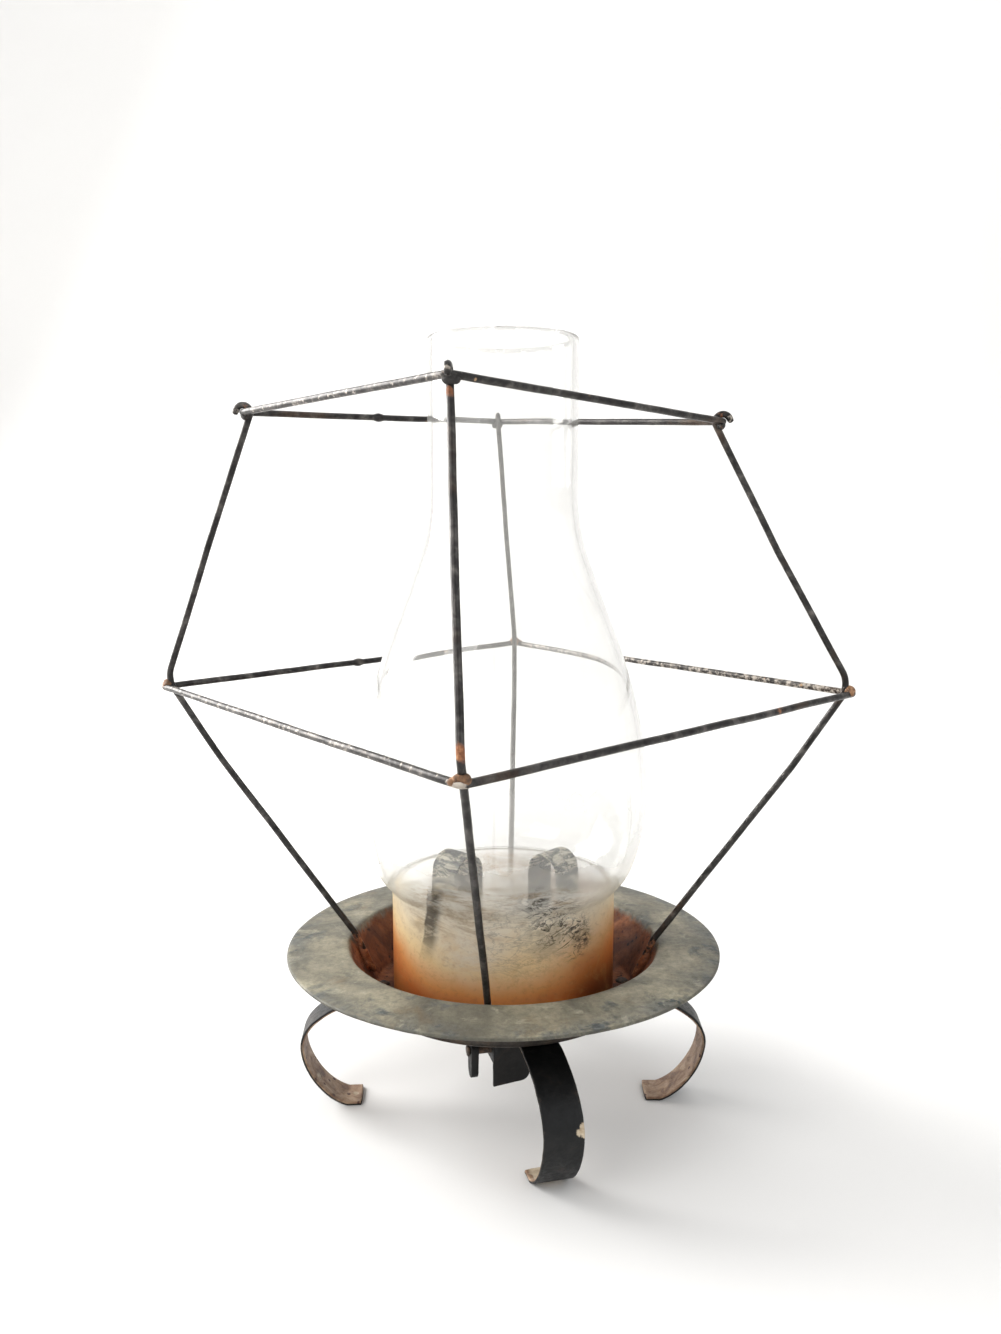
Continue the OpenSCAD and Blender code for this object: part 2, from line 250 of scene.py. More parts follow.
def frames(path, closed):
    """A tangent and two cross directions along a path, without twist."""
    n = len(path)
    T = []
    for i in range(n):
        a = path[(i - 1) % n] if (closed or i > 0) else path[0]
        b = path[(i + 1) % n] if (closed or i < n - 1) else path[-1]
        T.append(unit(b - a))
    ref = V(0, 0, 1) if abs(T[0][2]) < 0.9 else V(1, 0, 0)
    x = off_axis(ref, T[0])
    X = [x]
    for i in range(1, n):
        x = off_axis(X[-1], T[i])
        X.append(x)
    if closed:
        end = off_axis(X[-1], T[0])
        y0 = np.cross(T[0], X[0])
        a = math.atan2(float(np.dot(end, y0)), float(np.dot(end, X[0])))
        out = []
        for i in range(n):
            t = -a * i / n
            y = np.cross(T[i], X[i])
            out.append(math.cos(t) * X[i] + math.sin(t) * y)
        X = out
    return T, X


def tube(path, radius, closed=False, sides=18, seed=0.0, rough=0.035, wobble=0.0, bumps=()):
    """A hand-drawn wire: verts, faces. bumps are (point, reach, height) swellings."""
    path = np.array(path, float)
    n = len(path)
    if wobble:
        T, X = frames(path, closed)
        for i in range(n):
            k = 1.0 if closed else min(1.0, i / 12, (n - 1 - i) / 12)
            y = np.cross(T[i], X[i])
            path[i] = path[i] + k * wobble * (fbm(path[i], 26, 2, seed + 2) * X[i] + fbm(path[i], 22, 2, seed + 5) * y)
    T, X = frames(path, closed)
    verts, faces = [], []
    for i in range(n):
        y = np.cross(T[i], X[i])
        r0 = radius * (1 + 0.018 * fbm(path[i], 9, 2, seed))
        for (bp, reach, h) in bumps:
            d = np.linalg.norm(path[i] - bp) / reach
            if d < 1:
                r0 += h * (1 - d * d) ** 1.5
        if not closed:
            e = min(i, n - 1 - i)
            r0 *= (0.72, 0.93, 1.0)[min(e, 2)]
        for s in range(sides):
            a = TAU * s / sides
            d = math.cos(a) * X[i] + math.sin(a) * y
            p = path[i] + d * r0
            k = rough * (0.6 * fbm(p, 2.6, 2, seed + 9) + 0.5 * fbm(p, 1.1, 1, seed + 4))
            verts.append(p + d * k)
    m = n if closed else n - 1
    for i in range(m):
        j = (i + 1) % n
        for s in range(sides):
            t = (s + 1) % sides
            faces.append((i * sides + s, i * sides + t, j * sides + t, j * sides + s))
    if not closed:
        for row, tip, order in ((0, path[0] - T[0] * radius * 0.22, -1), (n - 1, path[-1] + T[-1] * radius * 0.22, 1)):
            verts.append(tip)
            c = len(verts) - 1
            for s in range(sides):
                t = (s + 1) % sides
                a, b = row * sides + s, row * sides + t
                faces.append((a, b, c) if order > 0 else (b, a, c))
    return verts, faces


def lathe(profile, n=256, bump=None):
    """A closed outline (r, z) turned about Z. Points on the axis become poles."""
    verts, faces, rows = [], [], []
    for (r, z) in profile:
        if r < 1e-6:
            verts.append(V(0, 0, z))
            rows.append([len(verts) - 1] * n)
            continue
        row = []
        for s in range(n):
            a = TAU * s / n
            p = V(r * math.cos(a), r * math.sin(a), z)
            if bump is not None:
                p = bump(p, r, z, a)
            verts.append(p)
            row.append(len(verts) - 1)
        rows.append(row)
    k = len(rows)
    for i in range(k):
        A, B = rows[i], rows[(i + 1) % k]
        if A[0] == A[1] and B[0] == B[1]:
            continue
        for s in range(n):
            t = (s + 1) % n
            q = [A[s], A[t], B[t], B[s]]
            q = [v for j, v in enumerate(q) if v != q[j - 1]]
            if len(q) >= 3:
                faces.append(tuple(q))
    return verts, faces


def smooth_profile(points, step=0.8):
    """A Catmull-Rom curve through (r, z) points."""
    P = [np.array(p, float) for p in points]
    P = [2 * P[0] - P[1]] + P + [2 * P[-1] - P[-2]]
    out = []
    for i in range(1, len(P) - 2):
        a, b, c, d = P[i - 1], P[i], P[i + 1], P[i + 2]
        k = max(2, int(np.linalg.norm(c - b) / step))
        for j in range(k):
            t = j / k
            out.append(0.5 * (2 * b + (c - a) * t + (2 * a - 5 * b + 4 * c - d) * t * t + (3 * b - a - 3 * c + d) * t ** 3))
    out.append(P[-2])
    return np.array(out)


def cr_chain(P, k):
    """The frame's own Catmull-Rom: from P[1] to P[-2]."""
    P = [np.array(p, float) for p in P]
    out = []
    for i in range(1, len(P) - 2):
        a, b, c, d = P[i - 1], P[i], P[i + 1], P[i + 2]
        last = i == len(P) - 3
        for j in range(k + (1 if last else 0)):
            t = j / k
            out.append(0.5 * (2 * b + (c - a) * t + (2 * a - 5 * b + 4 * c - d) * t * t + (3 * b - a - 3 * c + d) * t ** 3))
    return out


def strap(path2d, width, thick, az, ragged=0.05, seed=0.0, columns=22, origin=(0, 0), narrow=None, ends=(0.0, 0.0), cup=0.0):
    """A flat strap bent along a path of (radius, height) points and turned to az degrees."""
    P = np.array(path2d, float)
    d = np.linalg.norm(np.diff(P, axis=0), axis=1)
    s = np.concatenate([[0], np.cumsum(d)])
    total = s[-1]
    n = max(24, int(total / 0.7))
    S = np.linspace(0, total, n)
    Q = np.stack([np.interp(S, s, P[:, 0]), np.interp(S, s, P[:, 1])], 1)
    ca, sa = math.cos(math.radians(az)), math.sin(math.radians(az))
    verts, faces = [], []
    # section: across the top, then back along the underside, with rounded edges
    e = min(thick * 0.45, 0.35)
    sec = []
    for j in range(columns + 1):
        sec.append((-width / 2 + e + (width - 2 * e) * j / columns, thick / 2))
    for a in (60, 30, 0, -30, -60):
        sec.append((width / 2 - e + e * math.cos(math.radians(a)), (thick / 2) * math.sin(math.radians(a))))
    for j in range(columns + 1):
        sec.append((width / 2 - e - (width - 2 * e) * j / columns, -thick / 2))
    for a in (240, 210, 180, 150, 120):
        sec.append((-width / 2 + e + e * math.cos(math.radians(a)), (thick / 2) * math.sin(math.radians(a))))
    m = len(sec)
    for i in range(n):
        a, b = Q[max(0, i - 1)], Q[min(n - 1, i + 1)]
        t = unit(b - a)
        nr = V(-t[1], t[0])
        for (w, h) in sec:
            k = 1.0
            if narrow is not None:
                k = narrow(S[i] / total)
            wv = w * k
            side = 1 if w > 0 else -1
            wv += side * ragged * fbm((S[i], side * 9, seed * 3), 4.0, 3, seed) * (abs(w) / (width / 2)) ** 6
            back = 0.0
            if S[i] < 1e-6 and ends[0]:
                back = ends[0] * (abs(w) / (width / 2)) ** 4
            if i == n - 1 and ends[1]:
                back = -ends[1] * (abs(w) / (width / 2)) ** 4
            hh = h + cup * (w / (width / 2)) ** 2
            hh += 0.05 * fbm((S[i], wv, seed), 7.0, 2, seed + 3)
            r = Q[i][0] + nr[0] * hh + t[0] * back
            z = Q[i][1] + nr[1] * hh + t[1] * back
            verts.append(V(r * ca - wv * sa, r * sa + wv * ca, z))
    for i in range(n - 1):
        for j in range(m):
            k = (j + 1) % m
            faces.append((i * m + j, i * m + k, (i + 1) * m + k, (i + 1) * m + j))
    for row, order in ((0, 1), (n - 1, -1)):
        c = len(verts)
        verts.append(np.mean([verts[row * m + j] for j in range(m)], axis=0))
        for j in range(m):
            k = (j + 1) % m
            a, b = row * m + j, row * m + k
            faces.append((b, a, c) if order > 0 else (a, b, c))
    return verts, faces


def fix_normals(ob):
    import bmesh
    bm = bmesh.new()
    bm.from_mesh(ob.data)
    bmesh.ops.recalc_face_normals(bm, faces=bm.faces)
    bm.to_mesh(ob.data)
    bm.free()
    ob.data.update()


def blob(centre, rx, axis, seed, stretch=1.0, n=28, rough=0.16):
    """A lumpy run of solder about centre, long along axis."""
    ax = unit(axis)
    x = off_axis(V(0, 0, 1) if abs(ax[2]) < 0.9 else V(1, 0, 0), ax)
    y = np.cross(ax, x)
    verts, faces = [], []
    rows = n // 2
    for i in range(rows + 1):
        th = math.pi * i / rows
        if i in (0, rows):
            verts.append(centre + ax * rx * stretch * math.cos(th))
            continue
        for s in range(n):
            a = TAU * s / n
            d = ax * math.cos(th) * stretch + (x * math.cos(a) + y * math.sin(a)) * math.sin(th)
            p = centre + d * rx
            k = rough * fbm(p, 2.2, 3, seed) + 0.06 * fbm(p, 0.8, 1, seed + 3)
            verts.append(centre + d * rx * (1 + k))
    def idx(i, s):
        if i == 0:
            return 0
        if i == rows:
            return 1 + (rows - 1) * n
        return 1 + (i - 1) * n + s % n
    for i in range(rows):
        for s in range(n):
            q = [idx(i, s), idx(i, s + 1), idx(i + 1, s + 1), idx(i + 1, s)]
            q = [v for j, v in enumerate(q) if v != q[j - 1]]
            faces.append(tuple(q))
    return verts, faces


def merge(parts):
    V_, F_ = [], []
    for v, f in parts:
        k = len(V_)
        V_ += list(v)
        F_ += [tuple(i + k for i in q) for q in f]
    return V_, F_


# ------------------------------------------------------------------ material tools
class Mat:
    def __init__(self, name):
        self.m = bpy.data.materials.new(name)
        self.m.use_nodes = True
        self.t = self.m.node_tree
        self.bsdf = next(n for n in self.t.nodes if n.type == "BSDF_PRINCIPLED")
        self.out = next(n for n in self.t.nodes if n.type == "OUTPUT_MATERIAL")
        self.tc = self.t.nodes.new("ShaderNodeTexCoord")

    def n(self, kind, **props):
        node = self.t.nodes.new(kind)
        for k, v in props.items():
            setattr(node, k, v)
        return node

    def link(self, a, b):
        self.t.links.new(a, b)

    def co(self, scale=(1, 1, 1), loc=(0, 0, 0), rot=(0, 0, 0)):
        mp = self.n("ShaderNodeMapping")
        mp.inputs["Scale"].default_value = scale
        mp.inputs["Location"].default_value = loc
        mp.inputs["Rotation"].default_value = rot
        self.link(self.tc.outputs["Object"], mp.inputs["Vector"])
        return mp.outputs["Vector"]

    def noise(self, scale, detail=5, rough=0.55, distort=0.0, vec=None, loc=(0, 0, 0), stretch=(1, 1, 1)):
        node = self.n("ShaderNodeTexNoise")
        node.inputs["Scale"].default_value = scale
        node.inputs["Detail"].default_value = detail
        node.inputs["Roughness"].default_value = rough
        node.inputs["Distortion"].default_value = distort
        self.link(vec if vec is not None else self.co(stretch, loc), node.inputs["Vector"])
        return node.outputs["Fac"]

    def voronoi(self, scale, feature="F1", out="Distance", loc=(0, 0, 0), stretch=(1, 1, 1), random=1.0, vec=None):
        node = self.n("ShaderNodeTexVoronoi", feature=feature)
        node.inputs["Scale"].default_value = scale
        node.inputs["Randomness"].default_value = random
        self.link(vec if vec is not None else self.co(stretch, loc), node.inputs["Vector"])
        return node.outputs[out]

    def attr(self, name):
        node = self.n("ShaderNodeAttribute", attribute_name=name)
        return node.outputs["Fac"]

    def axis(self, which):
        sep = self.n("ShaderNodeSeparateXYZ")
        self.link(self.tc.outputs["Object"], sep.inputs[0])
        return sep.outputs[which]

    def math(self, op, a, b=None, clamp=False):
        node = self.n("ShaderNodeMath", operation=op, use_clamp=clamp)
        for i, v in enumerate((a, b)):
            if v is None:
                continue
            if isinstance(v, (int, float)):
                node.inputs[i].default_value = v
            else:
                self.link(v, node.inputs[i])
        return node.outputs[0]

    def range(self, v, lo, hi, a=0.0, b=1.0, smooth=True):
        node = self.n("ShaderNodeMapRange")
        node.interpolation_type = "SMOOTHSTEP" if smooth else "LINEAR"
        node.clamp = True
        self.link(v, node.inputs["Value"])
        node.inputs["From Min"].default_value = lo
        node.inputs["From Max"].default_value = hi
        node.inputs["To Min"].default_value = a
        node.inputs["To Max"].default_value = b
        return node.outputs["Result"]

    def ramp(self, v, stops):
        node = self.n("ShaderNodeValToRGB")
        cr = node.color_ramp
        while len(cr.elements) < len(stops):
            cr.elements.new(0.5)
        for e, (p, c) in zip(cr.elements, stops):
            e.position = p
            e.color = (*c, 1)
        self.link(v, node.inputs["Fac"])
        return node.outputs["Color"]

    def mix(self, fac, a, b, mode="MIX"):
        node = self.n("ShaderNodeMix", data_type="RGBA", blend_type=mode)
        node.clamp_factor = True
        for v, s in ((fac, node.inputs[0]), (a, node.inputs[6]), (b, node.inputs[7])):
            if isinstance(v, (int, float)):
                s.default_value = v
            elif isinstance(v, tuple):
                s.default_value = (*v, 1)
            else:
                self.link(v, s)
        return node.outputs[2]

    def bump(self, height, strength, dist, normal=None):
        node = self.n("ShaderNodeBump")
        node.inputs["Strength"].default_value = strength
        node.inputs["Distance"].default_value = dist
        self.link(height, node.inputs["Height"])
        if normal is not None:
            self.link(normal, node.inputs["Normal"])
        return node.outputs["Normal"]

    def set(self, name, v):
        s = self.bsdf.inputs[name]
        if hasattr(v, "is_linked") or hasattr(v, "links"):
            self.link(v, s)
        elif isinstance(v, tuple):
            s.default_value = (*v, 1) if len(v) == 3 else v
        else:
            s.default_value = v


def srgb(r, g, b):
    def f(c):
        c /= 255
        return c / 12.92 if c <= 0.04045 else ((c + 0.055) / 1.055) ** 2.4
    return (f(r), f(g), f(b))


# ---- wire: near-black oxide, greyed by wear on its run, rust where it was worked, and painted sheen: the ring arms that face the light are mixed towards pale grey-tan
def wire_material():
    M = Mat("wire_iron")
    big = M.noise(38, 4, 0.6)
    mid = M.noise(190, 5, 0.65, 0.3)
    fine = M.noise(900, 4, 0.7)
    base = M.ramp(mid, [(0.30, srgb(30, 28, 28)), (0.48, srgb(52, 50, 49)), (0.60, srgb(78, 75, 73)), (0.78, srgb(122, 116, 110))])
    brown = M.ramp(fine, [(0.3, srgb(48, 36, 30)), (0.7, srgb(96, 76, 60))])
    c = M.mix(M.range(big, 0.56, 0.70, 0, 0.55), base, brown)
    rust_n = M.math("ADD", M.attr("rust"), M.math("MULTIPLY", M.math("SUBTRACT", M.noise(420, 5, 0.7, 0.5), 0.5), 0.95))
    rust = M.range(rust_n, 0.42, 0.62)
    rust_c = M.ramp(M.noise(650, 4, 0.7), [(0.3, srgb(72, 44, 30)), (0.5, srgb(132, 80, 48)), (0.72, srgb(186, 136, 96))])
    c = M.mix(rust, c, rust_c)
    # tan: pale marks of real wear, and also a painted sheen on the ring arms that face the light, carried in the same
    # attribute
    tan_n = M.math("ADD", M.attr("tan"), M.math("MULTIPLY", M.math("SUBTRACT", M.noise(520, 4, 0.7), 0.5), 0.8))
    tan = M.range(tan_n, 0.5, 0.64)
    c = M.mix(tan, c, M.ramp(M.noise(800, 3, 0.6), [(0.3, srgb(140, 130, 118)), (0.7, srgb(200, 190, 178))]))
    spots = M.range(M.voronoi(260, random=1.0), 0.10, 0.17, 1, 0)
    some = M.range(M.noise(90, 2, 0.5, loc=(3, 1, 2)), 0.60, 0.68)
    c = M.mix(M.math("MULTIPLY", spots, some), c, srgb(168, 138, 108))
    M.set("Base Color", c)
    M.set("Metallic", M.range(M.math("ADD", rust, tan), 0.1, 0.6, 0.72, 0.0))
    M.set("Roughness", M.math("ADD", M.range(fine, 0.3, 0.7, 0.28, 0.46), M.math("MULTIPLY", rust, 0.35), True))
    h = M.math("ADD", M.math("MULTIPLY", fine, 0.5), M.math("MULTIPLY", mid, 0.8))
    h = M.math("ADD", h, M.math("MULTIPLY", rust, M.noise(1300, 4, 0.75)))
    M.set("Normal", M.bump(h, 0.5, 0.00022))
    return M.m


# ---- pan: grey-olive patina on the rim, rust in the well, painted shade on the faces that point down
def pan_material():
    M = Mat("pan_iron")
    x, y, z = M.axis(0), M.axis(1), M.axis(2)
    rr = M.math("SQRT", M.math("ADD", M.math("MULTIPLY", x, x), M.math("MULTIPLY", y, y)))
    cloud = M.noise(34, 7, 0.62, 0.8)
    cloud2 = M.noise(75, 7, 0.68, 0.6, loc=(4, 2, 1))
    fine = M.noise(520, 5, 0.72)
    grit = M.noise(1500, 3, 0.7)
    top = M.ramp(cloud, [(0.28, srgb(84, 81, 72)), (0.42, srgb(112, 108, 94)), (0.54, srgb(139, 133, 114)), (0.66, srgb(160, 153, 130)), (0.8, srgb(182, 174, 150))])
    rim_out = M.range(M.math("ADD", rr, M.math("MULTIPLY", M.math("SUBTRACT", cloud, 0.5), 0.012)), 0.064, 0.0725)
    blue = M.math("ADD", M.range(cloud2, 0.54, 0.66, 0, 0.75), M.math("MULTIPLY", rim_out, M.range(M.noise(70, 6, 0.7, 0.8, loc=(6, 1, 6)), 0.40, 0.60, 0.0, 0.75)), True)
    top = M.mix(blue, top, M.ramp(fine, [(0.3, srgb(60, 66, 70)), (0.7, srgb(100, 104, 102))]))
    pale = M.range(M.noise(120, 6, 0.7, 0.5, loc=(1, 7, 3)), 0.56, 0.68, 0, 0.55)
    top = M.mix(pale, top, srgb(172, 168, 148))
    brown = M.range(M.noise(58, 6, 0.66, 0.4, loc=(9, 3, 5)), 0.58, 0.72, 0, 0.5)
    top = M.mix(brown, top, srgb(112, 92, 66))
    top = M.mix(M.range(fine, 0.36, 0.62, 0.35, 0.0), top, srgb(60, 58, 50))
    # a darker line along the rim's outer edge
    edge = M.math("MULTIPLY", M.range(rr, 0.0732, 0.0739), M.range(fine, 0.4, 0.6, 0.3, 0.9))
    top = M.mix(edge, top, srgb(74, 72, 64))
    # well: red-brown rust with orange patches and black scale
    rust_n = M.noise(64, 7, 0.66, 0.9, loc=(2, 5, 8))
    well = M.ramp(rust_n, [(0.26, srgb(46, 29, 22)), (0.42, srgb(88, 52, 34)), (0.54, srgb(122, 74, 46)), (0.66, srgb(154, 98, 62)), (0.8, srgb(180, 126, 86))])
    well = M.mix(M.range(M.noise(260, 5, 0.75), 0.50, 0.70, 0, 0.6), well, srgb(60, 30, 22))
    well = M.mix(M.range(M.voronoi(330, loc=(1, 1, 1)), 0.14, 0.22, 1, 0), well, M.mix(M.range(M.noise(40, 2), 0.45, 0.6), srgb(94, 56, 38), srgb(22, 15, 14)))
    well = M.mix(M.range(M.noise(150, 6, 0.7, 1.2, loc=(7, 7, 7)), 0.60, 0.68, 0, 0.85), well, srgb(24, 17, 16))
    # the rust reaches up to the mouth with a ragged border
    border = M.math("ADD", rr, M.math("MULTIPLY", M.math("SUBTRACT", M.noise(160, 5, 0.7), 0.5), 0.0036))
    inside = M.range(border, 0.0519, 0.0534, 1, 0)
    inside = M.math("MULTIPLY", inside, M.range(z, 0.0391, 0.0394))
    c = M.mix(inside, top, well)
    # underside and outer wall: painted shade; every face that points down takes a mottled dark iron colour
    geo = M.n("ShaderNodeNewGeometry")
    nz = M.n("ShaderNodeSeparateXYZ")
    M.link(geo.outputs["True Normal"], nz.inputs[0])
    painted_shade_below = M.range(nz.outputs[2], -0.35, -0.05, 1, 0)
    wall = M.math("MULTIPLY", M.range(z, 0.0545, 0.0552, 1, 0), M.range(rr, 0.0450, 0.0458))
    outer = M.math("MULTIPLY", wall, M.range(border, 0.0519, 0.0534))
    under = M.ramp(M.noise(80, 6, 0.7, 0.6, loc=(3, 3, 0)), [(0.3, srgb(30, 28, 26)), (0.5, srgb(52, 46, 40)), (0.62, srgb(74, 62, 50)), (0.8, srgb(104, 82, 60))])
    c = M.mix(painted_shade_below, c, under)
    M.set("Base Color", c)
    M.set("Metallic", M.range(M.math("ADD", inside, painted_shade_below), 0.2, 0.9, 0.22, 0.0))
    M.set("Roughness", M.math("ADD", M.range(cloud2, 0.35, 0.7, 0.46, 0.66), M.math("MULTIPLY", inside, 0.25), True))
    M.set("Specular IOR Level", 0.4)
    h = M.math("ADD", M.math("MULTIPLY", fine, 0.55), M.math("MULTIPLY", grit, 0.25))
    h = M.math("ADD", h, M.math("MULTIPLY", cloud2, 0.8))
    h = M.math("ADD", h, M.math("MULTIPLY", inside, M.math("MULTIPLY", M.noise(420, 6, 0.75, 0.5), 2.2)))
    M.set("Normal", M.bump(h, 0.55, 0.00045))
    return M.m


def strap_material():
    """Feet and catch: black outside, tan and brown inside and at ends that show wear."""
    M = Mat("strap_iron")
    fine = M.noise(600, 5, 0.7)
    mid = M.noise(110, 6, 0.68, 0.6)
    black = M.ramp(mid, [(0.28, srgb(7, 8, 9)), (0.48, srgb(14, 15, 16)), (0.60, srgb(24, 24, 24)), (0.76, srgb(50, 40, 34))])
    black = M.mix(M.range(M.noise(60, 4, 0.6, 0.3, loc=(5, 5, 1)), 0.60, 0.72, 0, 0.5), black, srgb(54, 38, 30))
    inner = M.ramp(M.noise(150, 6, 0.7, 0.8, loc=(2, 8, 4)), [(0.28, srgb(80, 56, 42)), (0.44, srgb(128, 98, 76)), (0.58, srgb(170, 142, 116)), (0.76, srgb(200, 178, 154))])
    inner = M.mix(M.range(M.voronoi(240), 0.12, 0.20, 1, 0), inner, srgb(70, 34, 24))
    c = M.mix(M.attr("inner"), black, inner)
    chip_n = M.math("ADD", M.attr("chip"), M.math("MULTIPLY", M.math("SUBTRACT", M.noise(260, 4, 0.6, 0.6), 0.5), 0.9))
    chip = M.range(chip_n, 0.46, 0.56)
    c = M.mix(chip, c, M.ramp(M.noise(500, 4, 0.6), [(0.3, srgb(150, 130, 104)), (0.7, srgb(206, 192, 168))]))
    edge = M.math("MULTIPLY", M.attr("edge"), M.range(M.noise(170, 5, 0.7), 0.54, 0.70, 0, 0.7))
    c = M.mix(edge, c, srgb(104, 88, 74))
    M.set("Base Color", c)
    M.set("Metallic", M.range(M.math("ADD", M.attr("inner"), chip), 0.1, 0.7, 0.25, 0.0))
    M.set("Roughness", M.range(fine, 0.3, 0.7, 0.40, 0.62))
    M.set("Specular IOR Level", 0.38)
    h = M.math("ADD", M.math("MULTIPLY", fine, 0.5), M.math("MULTIPLY", mid, 1.1))
    h = M.math("ADD", h, M.math("MULTIPLY", chip, -0.6))
    h = M.math("ADD", h, M.math("MULTIPLY", M.attr("inner"), M.math("MULTIPLY", M.noise(380, 6, 0.8), 1.6)))
    M.set("Normal", M.bump(h, 0.6, 0.0003))
    return M.m


def clip_material():
    """Spring strap: dull grey with close scratches along it and brown stains."""
    M = Mat("clip_steel")
    streak = M.noise(120, 7, 0.70, 1.2, stretch=(1, 1, 4.5))
    fine = M.noise(900, 4, 0.7, stretch=(1, 1, 2.5))
    c = M.ramp(streak, [(0.40, srgb(8, 9, 9)), (0.465, srgb(38, 38, 34)), (0.505, srgb(104, 102, 88)), (0.545, srgb(170, 164, 144)), (0.64, srgb(208, 200, 180))])
    c = M.mix(M.range(M.noise(120, 5, 0.7, 0.5), 0.54, 0.68, 0, 0.45), c, srgb(112, 84, 58))
    c = M.mix(M.range(M.noise(210, 6, 0.75, 1.5, loc=(3, 0, 2)), 0.56, 0.64, 0, 0.85), c, srgb(26, 25, 25))
    M.set("Base Color", c)
    M.set("Metallic", 0.15)
    M.set("Roughness", M.range(fine, 0.3, 0.7, 0.42, 0.66))
    M.set("Normal", M.bump(M.math("ADD", M.math("MULTIPLY", streak, 1.2), M.math("MULTIPLY", fine, 0.5)), 0.5, 0.0003))
    return M.m


def rust_material(name, dark, mid_c, light, scale=220):
    M = Mat(name)
    a = M.noise(scale, 6, 0.7, 0.6)
    b = M.noise(scale * 4, 4, 0.75)
    c = M.ramp(a, [(0.30, dark), (0.5, mid_c), (0.70, light)])
    c = M.mix(M.range(b, 0.5, 0.7, 0, 0.5), c, dark)
    M.set("Base Color", c)
    M.set("Metallic", M.range(a, 0.3, 0.7, 0.25, 0.05))
    M.set("Roughness", M.range(b, 0.3, 0.7, 0.5, 0.8))
    M.set("Normal", M.bump(M.math("ADD", a, M.math("MULTIPLY", b, 0.6)), 0.6, 0.0003))
    return M.m


def solder_material():
    M = Mat("solder")
    a = M.noise(300, 6, 0.7, 0.8)
    b = M.noise(1100, 4, 0.75)
    c = M.ramp(a, [(0.28, srgb(38, 32, 28)), (0.42, srgb(96, 70, 50)), (0.55, srgb(150, 108, 74)), (0.70, srgb(186, 154, 122))])
    r = M.range(M.math("ADD", M.attr("rust"), M.math("MULTIPLY", M.math("SUBTRACT", a, 0.5), 0.7)), 0.4, 0.6)
    c = M.mix(r, c, M.ramp(b, [(0.3, srgb(92, 52, 32)), (0.7, srgb(164, 104, 66))]))
    d = M.range(M.math("ADD", M.attr("dark"), M.math("MULTIPLY", M.math("SUBTRACT", a, 0.5), 0.6)), 0.45, 0.6)
    c = M.mix(d, c, srgb(40, 37, 36))
    M.set("Base Color", c)
    M.set("Metallic", 0.15)
    M.set("Roughness", M.range(b, 0.3, 0.7, 0.45, 0.75))
    M.set("Normal", M.bump(M.math("ADD", a, M.math("MULTIPLY", b, 0.5)), 0.7, 0.0003))
    return M.m


